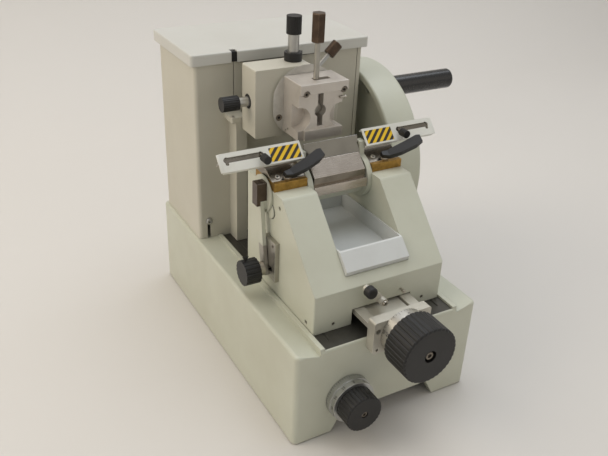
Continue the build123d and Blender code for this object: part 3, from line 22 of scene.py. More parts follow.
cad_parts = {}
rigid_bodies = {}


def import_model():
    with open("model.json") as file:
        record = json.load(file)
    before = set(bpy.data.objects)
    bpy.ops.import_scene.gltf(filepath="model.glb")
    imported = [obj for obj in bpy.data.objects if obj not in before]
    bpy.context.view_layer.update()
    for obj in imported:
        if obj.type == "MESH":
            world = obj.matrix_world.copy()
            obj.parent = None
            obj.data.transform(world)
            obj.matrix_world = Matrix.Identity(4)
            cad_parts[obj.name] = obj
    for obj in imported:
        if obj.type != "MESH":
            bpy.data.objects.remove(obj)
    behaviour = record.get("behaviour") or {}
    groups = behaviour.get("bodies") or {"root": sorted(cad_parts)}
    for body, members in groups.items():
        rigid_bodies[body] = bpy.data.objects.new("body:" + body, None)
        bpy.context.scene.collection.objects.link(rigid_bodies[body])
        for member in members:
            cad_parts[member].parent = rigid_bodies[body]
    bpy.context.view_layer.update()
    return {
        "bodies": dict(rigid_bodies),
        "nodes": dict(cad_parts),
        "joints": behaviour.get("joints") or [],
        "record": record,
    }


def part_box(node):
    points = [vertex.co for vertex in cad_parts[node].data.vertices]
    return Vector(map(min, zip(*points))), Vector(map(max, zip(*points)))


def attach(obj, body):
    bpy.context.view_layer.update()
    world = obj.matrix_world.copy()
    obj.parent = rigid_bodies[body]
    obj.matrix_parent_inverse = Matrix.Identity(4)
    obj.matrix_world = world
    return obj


log = logging.getLogger("microtome")

MM = 0.001
BASE_FRONT = -219.5
PHOTO_WIDTH = 608
PHOTO_HEIGHT = 456
SENSOR = 36.0


class Axis(Enum):
    """A direction along which a part is turned, brushed or driven."""

    X = (1.0, 0.0, 0.0)
    Y = (0.0, 1.0, 0.0)
    Z = (0.0, 0.0, 1.0)
    FRONT = (0.0, -1.0, 0.0)
    LEFT = (-1.0, 0.0, 0.0)
    DOWN = (0.0, 0.0, -1.0)

    def vector(self) -> Vector:
        """Return the direction as a vector."""
        return Vector(self.value)


def spot(x: float, depth: float, z: float) -> Vector:
    """Return a place on the machine in metres.

    Args:
        x: Millimetres to the right of the middle.
        depth: Millimetres behind the front of the base.
        z: Millimetres above the bench.

    Returns:
        The same place in the row frame.
    """
    return Vector((x, depth + BASE_FRONT, z)) * MM


def linear(code: str) -> tuple[float, float, float, float]:
    """Turn an sRGB hex colour into a linear RGBA colour.

    Args:
        code: Six hex digits after a hash sign.

    Returns:
        Linear red, green, blue and an alpha of one.
    """
    parts = [int(code[i : i + 2], 16) / 255 for i in (1, 3, 5)]
    red, green, blue = (c / 12.92 if c <= 0.04045 else ((c + 0.055) / 1.055) ** 2.4 for c in parts)
    return red, green, blue, 1.0


def per(size: float) -> float:
    """Return the texture scale that gives features of a size in millimetres."""
    return 1.0 / (size * MM)


def wire(tree: bpy.types.NodeTree, kind: str, inputs: dict | None = None, **settings: object) -> bpy.types.Node:
    """Add one shader node with its settings and its inputs.

    Args:
        tree: The material's node tree.
        kind: The node's type name.
        inputs: Values or output sockets for the node's inputs, by name or number.
        **settings: Properties set on the node itself.

    Returns:
        The new node.
    """
    made = tree.nodes.new(kind)
    for name, value in settings.items():
        setattr(made, name, value)
    for key, value in (inputs or {}).items():
        socket = made.inputs[key]
        if isinstance(value, bpy.types.NodeSocket):
            tree.links.new(value, socket)
        else:
            socket.default_value = value
    return made


def blank(name: str) -> tuple[bpy.types.Material, bpy.types.NodeTree]:
    """Start a material with an empty node tree."""
    made = bpy.data.materials.new(name)
    made.use_nodes = True
    made.node_tree.nodes.clear()
    return made, made.node_tree


def close(tree: bpy.types.NodeTree, shader: bpy.types.Node) -> None:
    """Send a shader to the material's surface."""
    wire(tree, "ShaderNodeOutputMaterial", {"Surface": shader.outputs[0]})


def object_place(tree: bpy.types.NodeTree) -> bpy.types.NodeSocket:
    """Return the object coordinates, which are the row frame's metres."""
    return wire(tree, "ShaderNodeTexCoord").outputs["Object"]


def worn_edges(tree: bpy.types.NodeTree, radius: float) -> tuple[bpy.types.NodeSocket, bpy.types.NodeSocket]:
    """Round a part's corners in the shading and find them.

    Args:
        tree: The material's node tree.
        radius: Radius of the softened corner in millimetres.

    Returns:
        The rounded normal, and a mask that is one along the corners.
    """
    soft = wire(tree, "ShaderNodeBevel", {"Radius": radius * MM}, samples=4)
    flat = wire(tree, "ShaderNodeNewGeometry")
    dot = wire(tree, "ShaderNodeVectorMath", {0: soft.outputs[0], 1: flat.outputs["Normal"]}, operation="DOT_PRODUCT")
    mask = wire(
        tree,
        "ShaderNodeMapRange",
        {"Value": dot.outputs["Value"], "From Min": 0.99, "From Max": 0.86, "To Min": 0.0, "To Max": 1.0},
    )
    return soft.outputs[0], mask.outputs[0]


def blend_colour(
    tree: bpy.types.NodeTree,
    amount: bpy.types.NodeSocket | float,
    first: bpy.types.NodeSocket | Sequence[float],
    second: bpy.types.NodeSocket | Sequence[float],
) -> bpy.types.NodeSocket:
    """Mix two colours by an amount and return the result."""
    mix = wire(tree, "ShaderNodeMix", {0: amount, 6: first, 7: second}, data_type="RGBA")
    return mix.outputs[2]


def ranged(tree: bpy.types.NodeTree, value: bpy.types.NodeSocket, low: float, high: float) -> bpy.types.NodeSocket:
    """Spread a zero-to-one value over a new range."""
    return wire(tree, "ShaderNodeMapRange", {"Value": value, "To Min": low, "To Max": high}).outputs[0]


@dataclass(frozen=True)
class Finish:
    """What every finish shares: a name, a colour, and how the surface takes light.

    Attributes:
        name: What the real surface is called in the workshop.
        colour: The surface's colour as an sRGB hex value.
        aged: The colour that dust, wear or tarnish turns it to.
        roughness: Mean roughness of the surface.
        metallic: One for bare metal, zero for paint and plastic.
        coat: Strength of a clear gloss on top.
        grain: Size of the surface's fine texture in millimetres.
        relief: Depth of that texture in millimetres.
        cloud: Size of the slow changes in colour in millimetres.
        ageing: Share of the aged colour in the clouds.
        edge: Radius of the softened corners in millimetres.
        rub: Share of the edge colour along the corners, standing for both wear and a painted highlight.
        edge_colour: The colour laid along the corners: worn edges plus a painted highlight.
    """

    name: str
    colour: str
    aged: str
    roughness: float = 0.5
    metallic: float = 0.0
    coat: float = 0.0
    grain: float = 1.5
    relief: float = 0.03
    cloud: float = 60.0
    ageing: float = 0.35
    edge: float = 0.8
    rub: float = 0.25
    edge_colour: str = "#D8D8D0"

    def texture(self, tree: bpy.types.NodeTree, place: bpy.types.NodeSocket) -> bpy.types.NodeSocket:
        """Return the fine texture's height, from zero to one."""
        return wire(
            tree, "ShaderNodeTexNoise", {"Vector": place, "Scale": per(self.grain), "Detail": 3.0, "Roughness": 0.55}
        ).outputs["Fac"]

    def pattern(
        self, tree: bpy.types.NodeTree, place: bpy.types.NodeSocket, colour: bpy.types.NodeSocket
    ) -> bpy.types.NodeSocket:
        """Return the colour with any marks drawn on it."""
        return colour

    def material(self) -> bpy.types.Material:
        """Build the finish once and return its material.

        Returns:
            The material, the same one at every call.
        """
        found = bpy.data.materials.get(self.name)
        if found:
            return found
        made, tree = blank(self.name)
        place = object_place(tree)
        normal, corner = worn_edges(tree, self.edge)
        fine = self.texture(tree, place)
        cloud = wire(
            tree, "ShaderNodeTexNoise", {"Vector": place, "Scale": per(self.cloud), "Detail": 4.0, "Roughness": 0.6}
        ).outputs["Fac"]
        spread = wire(
            tree, "ShaderNodeMapRange", {"Value": cloud, "From Min": 0.38, "From Max": 0.68, "To Max": self.ageing}
        ).outputs[0]
        colour = blend_colour(tree, spread, linear(self.colour), linear(self.aged))
        colour = self.pattern(tree, place, colour)
        # Corners take the edge colour, broken by the fine texture: wear plus a painted highlight along the edges.
        broken = wire(tree, "ShaderNodeMath", {0: corner, 1: fine}, operation="MULTIPLY").outputs[0]
        edge_rub_highlight_mix = ranged(tree, broken, 0.0, self.rub * 2.0)
        colour = blend_colour(tree, edge_rub_highlight_mix, colour, linear(self.edge_colour))
        rough = ranged(tree, fine, self.roughness - 0.07, self.roughness + 0.07)
        bump = wire(
            tree,
            "ShaderNodeBump",
            {"Height": fine, "Strength": 1.0, "Distance": self.relief * MM, "Normal": normal},
        )
        shader = wire(
            tree,
            "ShaderNodeBsdfPrincipled",
            {
                "Base Color": colour,
                "Roughness": rough,
                "Metallic": self.metallic,
                "Coat Weight": self.coat,
                "Coat Roughness": 0.25,
                "Normal": bump.outputs[0],
            },
        )
        close(tree, shader)
        return made


@dataclass(frozen=True)
class Turned(Finish):
    """Metal from a lathe: fine rings round the axis, on the faces and along the sides.

    Attributes:
        centre: A point on the axis, in metres.
        axis: The direction of the axis.
        pitch: Distance between the rings in millimetres.
    """

    centre: tuple[float, float, float] = (0.0, 0.0, 0.0)
    axis: Axis = Axis.Y
    pitch: float = 0.9

    def texture(self, tree: bpy.types.NodeTree, place: bpy.types.NodeSocket) -> bpy.types.NodeSocket:
        """Return rings that depend on the distance from the axis and along it."""
        moved = wire(tree, "ShaderNodeVectorMath", {0: place, 1: self.centre}, operation="SUBTRACT").outputs[0]
        along = wire(
            tree, "ShaderNodeVectorMath", {0: moved, 1: self.axis.value}, operation="DOT_PRODUCT"
        ).outputs["Value"]
        whole = wire(tree, "ShaderNodeVectorMath", {0: moved}, operation="LENGTH").outputs["Value"]
        squares = [wire(tree, "ShaderNodeMath", {0: v, 1: 2.0}, operation="POWER").outputs[0] for v in (whole, along)]
        off = wire(tree, "ShaderNodeMath", {0: squares[0], 1: squares[1]}, operation="SUBTRACT").outputs[0]
        reach = wire(tree, "ShaderNodeMath", {0: off, 1: 0.5}, operation="POWER").outputs[0]
        run = wire(tree, "ShaderNodeMath", {0: reach, 1: along}, operation="ADD").outputs[0]
        return wire(
            tree,
            "ShaderNodeTexNoise",
            {"W": run, "Scale": per(self.pitch), "Detail": 2.0, "Roughness": 0.6},
            noise_dimensions="1D",
        ).outputs["Fac"]


@dataclass(frozen=True)
class Ground(Finish):
    """Metal ground or brushed one way: long scratches along an axis.

    Attributes:
        axis: The direction of the scratches.
        length: Length of a scratch in millimetres.
    """

    axis: Axis = Axis.X
    length: float = 40.0

    def texture(self, tree: bpy.types.NodeTree, place: bpy.types.NodeSocket) -> bpy.types.NodeSocket:
        """Return a noise drawn out along the axis."""
        scale = tuple(self.grain / self.length if part else 1.0 for part in self.axis.value)
        drawn = wire(tree, "ShaderNodeMapping", {"Vector": place, "Scale": scale}).outputs[0]
        return wire(
            tree, "ShaderNodeTexNoise", {"Vector": drawn, "Scale": per(self.grain), "Detail": 4.0, "Roughness": 0.7}
        ).outputs["Fac"]


@dataclass(frozen=True)
class Striped(Finish):
    """A printed film of slanting black bars on yellow.

    Attributes:
        black: The colour of the bars.
        pitch: Distance from one bar to the next along the film, in millimetres.
        slope: Sideways shift of a bar for each millimetre up the film.
        tilt: Angle of the film's face above the horizon, in degrees.
    """

    black: str = "#26231F"
    pitch: float = 10.6
    slope: float = 1.0
    tilt: float = 46.0

    def pattern(
        self, tree: bpy.types.NodeTree, place: bpy.types.NodeSocket, colour: bpy.types.NodeSocket
    ) -> bpy.types.NodeSocket:
        """Return black bars that lean as they climb the film's face."""
        lean = self.slope * math.cos(math.radians(self.tilt)), self.slope * math.sin(math.radians(self.tilt))
        along = wire(
            tree, "ShaderNodeVectorMath", {0: place, 1: (1.0, -lean[0], -lean[1])}, operation="DOT_PRODUCT"
        ).outputs["Value"]
        turn = wire(tree, "ShaderNodeMath", {0: along, 1: 2.0 * math.pi * per(self.pitch)}, operation="MULTIPLY")
        wave = wire(tree, "ShaderNodeMath", {0: turn.outputs[0]}, operation="SINE").outputs[0]
        bars = wire(
            tree, "ShaderNodeMapRange", {"Value": wave, "From Min": -0.06, "From Max": 0.06}, clamp=True
        ).outputs[0]
        return blend_colour(tree, bars, colour, linear(self.black))


CASTING_ENAMEL = Finish(
    # Two-pack enamel sprayed on filled grey iron: soft gloss, faint orange peel, a green-grey cast.
    "sprayed_enamel_on_cast_iron", "#C6C7B6", "#B9B8A5", roughness=0.42, coat=0.15, grain=1.6, relief=0.035,
    cloud=90.0, ageing=0.5, edge=1.6, rub=0.2,
)
HOUSING_ENAMEL = Finish(
    # The same enamel on sheet steel: flatter and a little warmer, so broad highlights stay smooth.
    "sprayed_enamel_on_sheet_steel", "#C4C0B1", "#B9B4A3", roughness=0.45, coat=0.12, grain=1.3, relief=0.02,
    cloud=140.0, ageing=0.5, edge=0.8, rub=0.25,
)
LID_ENAMEL = Finish(
    # Stoved enamel on the lid: the palest panel.
    "stoved_enamel_lid", "#CBCAC3", "#C1BFB5", roughness=0.4, coat=0.15, grain=1.3, relief=0.02,
    cloud=120.0, ageing=0.4, edge=1.2, rub=0.2,
)
TRAY_ENAMEL = Finish(
    # Thin sheet pan in cool grey paint with shallow wipe marks.
    "painted_sheet_pan", "#CDCFCC", "#C2C3BF", roughness=0.4, coat=0.1, grain=2.0, relief=0.015,
    cloud=50.0, ageing=0.5, edge=0.6, rub=0.35,
)
GUARD_PAINT = Finish(
    # White powder coat on the finger guards: satin, with a fine even grain.
    "white_powder_coat", "#D9D8CF", "#CCCABD", roughness=0.42, coat=0.1, grain=0.9, relief=0.02,
    cloud=30.0, ageing=0.4, edge=0.6, rub=0.2,
)
BED_IRON = Ground(
    # Scraped and oiled cast iron of the slide bed: dark, with drawn scratches along the travel.
    "oiled_scraped_iron", "#55534D", "#46443F", roughness=0.38, metallic=0.6, grain=0.8, relief=0.02,
    cloud=25.0, ageing=0.6, edge=0.6, rub=0.35, edge_colour="#8E8C84", axis=Axis.Y, length=60.0,
)
MACHINED_IRON = Ground(
    # Planed iron inside the housing, oiled against rust.
    "planed_iron", "#77746C", "#625F57", roughness=0.42, metallic=0.8, grain=0.9, relief=0.02,
    cloud=30.0, ageing=0.5, edge=0.6, rub=0.35, edge_colour="#A5A39B", axis=Axis.Z, length=50.0,
)
SATIN_STEEL = Ground(
    # Ground steel, satin nickel plated: bright, with hairlines along the bar.
    "nickel_plated_ground_steel", "#BDB8AE", "#A59F93", roughness=0.34, metallic=0.9, grain=0.7, relief=0.012,
    cloud=22.0, ageing=0.5, edge=0.7, rub=0.5, edge_colour="#E2DED6", axis=Axis.X, length=35.0,
)
SATIN_STEEL_UP = Ground(
    # The same plated steel with its hairlines upright.
    "nickel_plated_ground_steel_up", "#B2AFA6", "#98938A", roughness=0.36, metallic=0.9, grain=0.7, relief=0.012,
    cloud=22.0, ageing=0.5, edge=0.7, rub=0.5, edge_colour="#E2DED6", axis=Axis.Z, length=35.0,
)
CLAMP_ALLOY = Ground(
    # Nickel-plated specimen clamp: warm grey and matt from milling, brighter on the edges.
    "matt_nickel_milled_alloy", "#CDC6BD", "#B8B0A6", roughness=0.38, metallic=0.5, grain=0.8, relief=0.014,
    cloud=28.0, ageing=0.5, edge=0.7, rub=0.45, edge_colour="#E4DFD6", axis=Axis.X, length=14.0,
)
BRACKET_ALLOY = Ground(
    # Anodised aluminium bracket: pale, dry and even.
    "matt_anodised_aluminium", "#C9C5B9", "#B9B4A7", roughness=0.46, metallic=0.55, grain=0.7, relief=0.012,
    cloud=26.0, ageing=0.5, edge=0.7, rub=0.4, edge_colour="#E3E0D8", axis=Axis.Z, length=20.0,
)
KNIFE_STEEL = Ground(
    # Stropped knife steel, the brightest metal on the machine.
    "stropped_knife_steel", "#85837C", "#6E6C66", roughness=0.2, metallic=1.0, grain=0.6, relief=0.006,
    cloud=30.0, ageing=0.4, edge=0.3, rub=0.4, edge_colour="#F0EFEC", axis=Axis.X, length=60.0,
)
SADDLE_STEEL = Ground(
    # Ground clamp saddles, darkened by oil and handling.
    "oiled_ground_steel", "#8D867B", "#6A645B", roughness=0.24, metallic=0.95, grain=0.7, relief=0.012,
    cloud=16.0, ageing=0.7, edge=0.6, rub=0.55, edge_colour="#D5CFC4", axis=Axis.X, length=30.0,
)
BRONZED_STEEL = Ground(
    # Bronzed lever block, dark and glossy with bright corners.
    "bronzed_steel", "#5C5148", "#463D36", roughness=0.22, metallic=0.9, grain=0.7, relief=0.01,
    cloud=16.0, ageing=0.6, edge=0.7, rub=0.6, edge_colour="#B7AEA2", axis=Axis.Z, length=25.0,
)
PAD_STEEL = Ground(
    # Bright ground bar that carries the knife.
    "bright_ground_steel", "#C9C0B6", "#A99F94", roughness=0.26, metallic=0.95, grain=0.7, relief=0.01,
    cloud=24.0, ageing=0.5, edge=0.6, rub=0.5, edge_colour="#EAE6DF", axis=Axis.X, length=50.0,
)
DARK_STEEL = Ground(
    # Burnished hexagon steel of the clamp levers, browned by hands.
    "browned_hexagon_steel", "#5A4A3C", "#3B3029", roughness=0.36, metallic=0.75, grain=0.7, relief=0.02,
    cloud=14.0, ageing=0.8, edge=0.7, rub=0.6, edge_colour="#A18E7B", axis=Axis.Z, length=20.0,
)
BRASS = Ground(
    # Old brass slips, gone brown under oil.
    "tarnished_brass", "#B48E4A", "#7C5F2C", roughness=0.4, metallic=0.85, grain=0.8, relief=0.02,
    cloud=9.0, ageing=0.85, edge=0.6, rub=0.45, edge_colour="#CDB06A", axis=Axis.X, length=10.0,
)
BLACK_PLASTIC = Finish(
    # Moulded phenolic resin: near black, satin, with a faint moulding skin.
    "moulded_phenolic", "#131211", "#1D1B1A", roughness=0.46, grain=0.8, relief=0.02,
    cloud=20.0, ageing=0.6, edge=0.7, rub=0.3, edge_colour="#3F3B37",
)
GRIP_PLASTIC = Finish(
    # Polished resin handle, smoothed by the palm.
    "polished_phenolic", "#131212", "#1C1A19", roughness=0.28, coat=0.3, grain=3.0, relief=0.015,
    cloud=25.0, ageing=0.5, edge=1.0, rub=0.2, edge_colour="#4C4A49",
)
RUBBER = Finish(
    # Moulded rubber feet: dull black with a dusty bloom.
    "moulded_rubber", "#2A2927", "#3A3835", roughness=0.85, grain=1.2, relief=0.06,
    cloud=12.0, ageing=0.7, edge=0.5, rub=0.25, edge_colour="#55524D",
)
SOCKET_STEEL = Finish(
    # Black-oxide cap screws, lightly oiled.
    "black_oxide_steel", "#857D72", "#5F5850", roughness=0.34, metallic=0.8, grain=0.6, relief=0.01,
    cloud=5.0, ageing=0.5, edge=0.3, rub=0.55, edge_colour="#9B948A",
)
BRIGHT_SCREW = Finish(
    # Bright zinc-plated screws.
    "zinc_plated_steel", "#BDB7AC", "#9A9388", roughness=0.3, metallic=0.9, grain=0.6, relief=0.01,
    cloud=5.0, ageing=0.5, edge=0.3, rub=0.5, edge_colour="#E8E4DC",
)
SHADOW_GAP = Finish(
    # Painted shade: dark colour laid in socket bottoms, holes and open seams, where shade falls.
    "painted_shade_recess", "#1A1917", "#24221F", roughness=0.8, grain=0.8, relief=0.02, cloud=6.0, ageing=0.5,
    edge=0.2, rub=0.0,
)
ENGRAVING = Finish(
    # Black wax rubbed into engraved graduations.
    "engraving_wax", "#2E2C2A", "#45423E", roughness=0.6, grain=0.5, relief=0.01, cloud=3.0, ageing=0.5,
    edge=0.1, rub=0.0,
)
SEAM_GREY = Finish(
    # Painted shade for the shaded step where two painted panels meet.
    "painted_shade_seam", "#6E6B61", "#5A574E", roughness=0.8, grain=0.8, relief=0.02, cloud=20.0, ageing=0.5,
    edge=0.2, rub=0.0,
)
STRIPED_FILM = Striped(
    # Yellow polyester film with black bars.
    "striped_polyester_film", "#E9BE12", "#D9AE12", roughness=0.38, coat=0.15, grain=0.8, relief=0.008,
    cloud=20.0, ageing=0.4, edge=0.2, rub=0.0,
)


def turned(name: str, node: str, axis: Axis, tone: str = "#BDBCB8", **changes: object) -> Turned:
    """Describe a turned metal finish whose rings run round one node's middle.

    Args:
        name: The finish's name.
        node: The CAD node whose middle lies on the axis.
        axis: The direction of the axis.
        tone: The metal's colour.
        **changes: Other values that differ from satin aluminium.

    Returns:
        The finish, ready to build.
    """
    low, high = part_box(node)
    values = {
        "aged": "#A3A19B", "roughness": 0.32, "metallic": 0.9, "relief": 0.008, "cloud": 18.0, "ageing": 0.4,
        "edge": 0.6, "rub": 0.5, "edge_colour": "#E9E7E2", **changes,
    }
    return Turned(name, tone, centre=tuple((low + high) / 2), axis=axis, **values)


@dataclass
class Studio:
    """The plain pale sweep, the soft lights and the photograph's camera.

    Attributes:
        sweep_width: Width of the floor and backdrop in metres.
        floor_front: How far the floor runs towards the camera, in metres.
        wall_back: Distance from the machine's middle to the backdrop, in metres.
        wall_height: Height of the backdrop in metres.
        sweep_radius: Radius of the curve from floor to backdrop, in metres.
        focal: Focal length over the photograph's width in pixels.
        azimuth: The camera's turn round the machine, in degrees.
        elevation: The camera's height above the horizon, in degrees.
        roll: The camera's roll in degrees.
        stand: The camera's place in millimetres.
        principal: The photograph's optical centre in pixels.
    """

    sweep_width: float = 6.0
    floor_front: float = 2.4
    wall_back: float = 1.3
    wall_height: float = 3.2
    sweep_radius: float = 0.5
    focal: float = 736.71
    azimuth: float = -30.45
    elevation: float = 29.11
    roll: float = 2.55
    stand: tuple[float, float, float] = (-463.19, -789.1, 676.13)
    principal: tuple[float, float] = (306.06, 226.62)

    def build(self) -> None:
        """Make the sweep, the lights, the world and the camera."""
        self.sweep()
        self.world()
        self.lamp("window_light", (-2.3, 0.6, 2.0), 1.8, 34.0, "#FFF3E2")
        self.lamp("ceiling_light", (0.5, 0.5, 2.6), 2.4, 38.0, "#F0F6FF")
        self.lamp("room_fill", (1.4, -2.2, 1.5), 2.0, 4.5, "#FFF0DE")
        self.camera()
        scene = bpy.context.scene
        scene.view_settings.view_transform = "Standard"

    def sweep(self) -> None:
        """Bend one sheet into the floor and the backdrop."""
        bpy.ops.object.select_all(action="DESELECT")
        bpy.ops.mesh.primitive_plane_add(size=1.0, location=(0.0, 0.0, 0.0))
        sheet = bpy.context.object
        sheet.name = "studio_sweep"
        depth = self.floor_front + self.wall_back
        sheet.scale = (self.sweep_width, depth, 1.0)
        sheet.location = (0.0, (self.wall_back - self.floor_front) / 2, 0.0)
        bpy.ops.object.transform_apply(location=True, rotation=False, scale=True)
        bpy.ops.object.mode_set(mode="EDIT")
        bpy.ops.mesh.select_all(action="DESELECT")
        bpy.ops.object.mode_set(mode="OBJECT")
        for edge in sheet.data.edges:
            edge.select = all(sheet.data.vertices[v].co.y > self.wall_back - MM for v in edge.vertices)
        bpy.ops.object.mode_set(mode="EDIT")
        bpy.ops.mesh.extrude_region_move(TRANSFORM_OT_translate={"value": (0.0, 0.0, self.wall_height)})
        bpy.ops.object.mode_set(mode="OBJECT")
        curve = sheet.modifiers.new("curve", "BEVEL")
        curve.width = self.sweep_radius
        curve.segments = 16
        curve.limit_method = "ANGLE"
        bpy.ops.object.modifier_apply(modifier="curve")
        bpy.ops.object.shade_smooth()
        sheet.data.materials.append(self.paper())

    def paper(self) -> bpy.types.Material:
        """Return matt background paper with very slight unevenness."""
        made, tree = blank("background_paper")
        place = object_place(tree)
        cloud = wire(tree, "ShaderNodeTexNoise", {"Vector": place, "Scale": 1.3, "Detail": 2.0}).outputs["Fac"]
        colour = blend_colour(tree, cloud, linear("#DBD7D1"), linear("#D7D3CD"))
        close(tree, wire(tree, "ShaderNodeBsdfPrincipled", {"Base Color": colour, "Roughness": 0.7}))
        return made

    def world(self) -> None:
        """Fill the room with plain even light that looks like the paper where the camera sees it."""
        room = bpy.data.worlds.new("room")
        room.use_nodes = True
        tree = room.node_tree
        tree.nodes.clear()
        light = wire(tree, "ShaderNodeBackground", {"Color": linear("#F3F2EF"), "Strength": 0.5})
        seen = wire(tree, "ShaderNodeBackground", {"Color": linear("#D8D2C7"), "Strength": 1.0})
        path = wire(tree, "ShaderNodeLightPath")
        both = wire(tree, "ShaderNodeMixShader", {0: path.outputs["Is Camera Ray"], 1: light.outputs[0], 2: seen.outputs[0]})
        wire(tree, "ShaderNodeOutputWorld", {"Surface": both.outputs[0]})
        bpy.context.scene.world = room

    def lamp(self, name: str, place: Sequence[float], size: float, power: float, tint: str) -> None:
        """Add one large soft lamp aimed at the machine.

        Args:
            name: The lamp's name.
            place: Where it hangs, in metres.
            size: Side of its square panel in metres.
            power: Its power in watts.
            tint: Its colour as an sRGB hex value.
        """
        bpy.ops.object.light_add(type="AREA", location=place)
        lamp = bpy.context.object
        lamp.name = name
        lamp.data.size = size
        lamp.data.energy = power
        lamp.data.color = linear(tint)[:3]
        aim = Vector((0.0, 0.0, 0.2)) - Vector(place)
        lamp.rotation_euler = aim.to_track_quat("-Z", "Y").to_euler()

    def camera(self) -> None:
        """Stand the camera where the photograph was taken from."""
        a, e, r = (math.radians(v) for v in (self.azimuth, self.elevation, self.roll))
        back = Vector((math.sin(a) * math.cos(e), -math.cos(a) * math.cos(e), math.sin(e)))
        right = Vector((math.cos(a), math.sin(a), 0.0))
        up = back.cross(right)
        turned_right = right * math.cos(r) + up * math.sin(r)
        turned_up = up * math.cos(r) - right * math.sin(r)
        bpy.ops.object.camera_add(location=Vector(self.stand) * MM)
        camera = bpy.context.object
        camera.name = "photo_camera"
        camera.rotation_euler = Matrix((turned_right, turned_up, back)).transposed().to_euler()
        camera.data.sensor_width = SENSOR
        camera.data.lens = self.focal / PHOTO_WIDTH * SENSOR
        camera.data.shift_x = (PHOTO_WIDTH / 2 - self.principal[0]) / PHOTO_WIDTH
        camera.data.shift_y = (self.principal[1] - PHOTO_HEIGHT / 2) / PHOTO_WIDTH
        camera.data.clip_start = 0.05
        camera.data.clip_end = 20.0
        bpy.context.scene.camera = camera


def dress(finish: Finish, *nodes: str) -> None:
    """Give CAD nodes one finish.

    Args:
        finish: The finish to lay on them.
        *nodes: Names of the CAD nodes.
    """
    material = finish.material()
    for name in nodes:
        slots = FRAME["nodes"][name].data.materials
        slots.clear()
        slots.append(material)
        log.info("%s is finished in %s", name, finish.name)


def alone(made: bpy.types.Object) -> bpy.types.Object:
    """Select one object alone and make it active."""
    bpy.ops.object.select_all(action="DESELECT")
    made.select_set(True)
    bpy.context.view_layer.objects.active = made
    return made


def finished(
    made: bpy.types.Object, name: str, body: str, finish: Finish, smooth: float = 35.0
) -> bpy.types.Object:
    """Settle a piece at the origin, smooth it, finish it and let it ride on its body.

    Args:
        made: The modelled object.
        name: The piece's name.
        body: The CAD body that carries it.
        finish: Its finish.
        smooth: Edges flatter than this many degrees are shaded smooth.

    Returns:
        The settled piece.
    """
    alone(made)
    bpy.ops.object.convert(target="MESH")
    bpy.ops.object.transform_apply(location=True, rotation=True, scale=True)
    bpy.ops.object.shade_smooth_by_angle(angle=math.radians(smooth))
    made.name = name
    made.data.name = name
    made.data.materials.clear()
    made.data.materials.append(finish.material())
    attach(made, body)
    log.info("%s is built and rides on %s", name, body)
    return made


def bevelled(made: bpy.types.Object, width: float, segments: int = 2, angle: float = 40.0) -> bpy.types.Object:
    """Round a piece's sharp edges.

    Args:
        made: The object to round.
        width: Width of the rounding in millimetres.
        segments: Faces across the rounding.
        angle: Only edges sharper than this many degrees are rounded.

    Returns:
        The same object with the modifier applied.
    """
    alone(made)
    edge = made.modifiers.new("edge", "BEVEL")
    edge.width = width * MM
    edge.segments = segments
    edge.limit_method = "ANGLE"
    edge.angle_limit = math.radians(angle)
    bpy.ops.object.modifier_apply(modifier="edge")
    return made


def block(low: Vector, high: Vector) -> bpy.types.Object:
    """Add a box between two corners, with its size in its mesh."""
    bpy.ops.mesh.primitive_cube_add(size=1.0, location=(low + high) / 2)
    made = bpy.context.object
    made.scale = high - low
    bpy.ops.object.transform_apply(location=False, rotation=False, scale=True)
    return made


def turn(profile: Sequence[tuple[float, float]], steps: int = 48) -> bpy.types.Object:
    """Spin a profile round the vertical axis, as on a lathe.

    Args:
        profile: Pairs of radius and height in millimetres, from the foot up, ending on the axis.
        steps: Faces round the axis.

    Returns:
        A closed turned shape that stands at the origin.
    """
    bpy.ops.object.select_all(action="DESELECT")
    bpy.ops.mesh.primitive_plane_add(size=MM, location=(0.0, 0.0, 0.0))
    made = bpy.context.object
    bpy.ops.object.mode_set(mode="EDIT")
    bpy.ops.mesh.merge(type="CENTER")
    radius, height = profile[0]
    bpy.ops.transform.translate(value=(radius * MM, 0.0, height * MM))
    for (r0, z0), (r1, z1) in zip(profile, profile[1:]):
        bpy.ops.mesh.extrude_region_move(
            TRANSFORM_OT_translate={"value": ((r1 - r0) * MM, 0.0, (z1 - z0) * MM)}
        )
    bpy.ops.mesh.select_all(action="SELECT")
    bpy.ops.mesh.spin(steps=steps, angle=2.0 * math.pi, center=(0.0, 0.0, 0.0), axis=(0.0, 0.0, 1.0))
    bpy.ops.mesh.select_all(action="SELECT")
    bpy.ops.mesh.remove_doubles(threshold=MM * 0.002)
    bpy.ops.mesh.normals_make_consistent(inside=False)
    bpy.ops.object.mode_set(mode="OBJECT")
    return made


def aimed(made: bpy.types.Object, foot: Vector, way: Vector, spin: float = 0.0) -> bpy.types.Object:
    """Turn an upright shape to point another way and move its foot.

    Args:
        made: The upright shape at the origin.
        foot: Where its foot goes, in metres.
        way: The direction in which it then stands.
        spin: Its turn about its own axis, in degrees.

    Returns:
        The same shape in place.
    """
    turned = way.to_track_quat("Z", "Y").to_matrix().to_4x4()
    made.data.transform(Matrix.Translation(foot) @ turned @ Matrix.Rotation(math.radians(spin), 4, "Z"))
    return made


def twin(made: bpy.types.Object) -> bpy.types.Object:
    """Copy an object with its own mesh."""
    copy = made.copy()
    copy.data = made.data.copy()
    bpy.context.collection.objects.link(copy)
    return copy


def together(parts: Iterable[bpy.types.Object]) -> bpy.types.Object:
    """Join objects into one and return it."""
    parts = list(parts)
    alone(parts[0])
    for part in parts[1:]:
        part.select_set(True)
    if len(parts) > 1:
        bpy.ops.object.join()
    return bpy.context.object


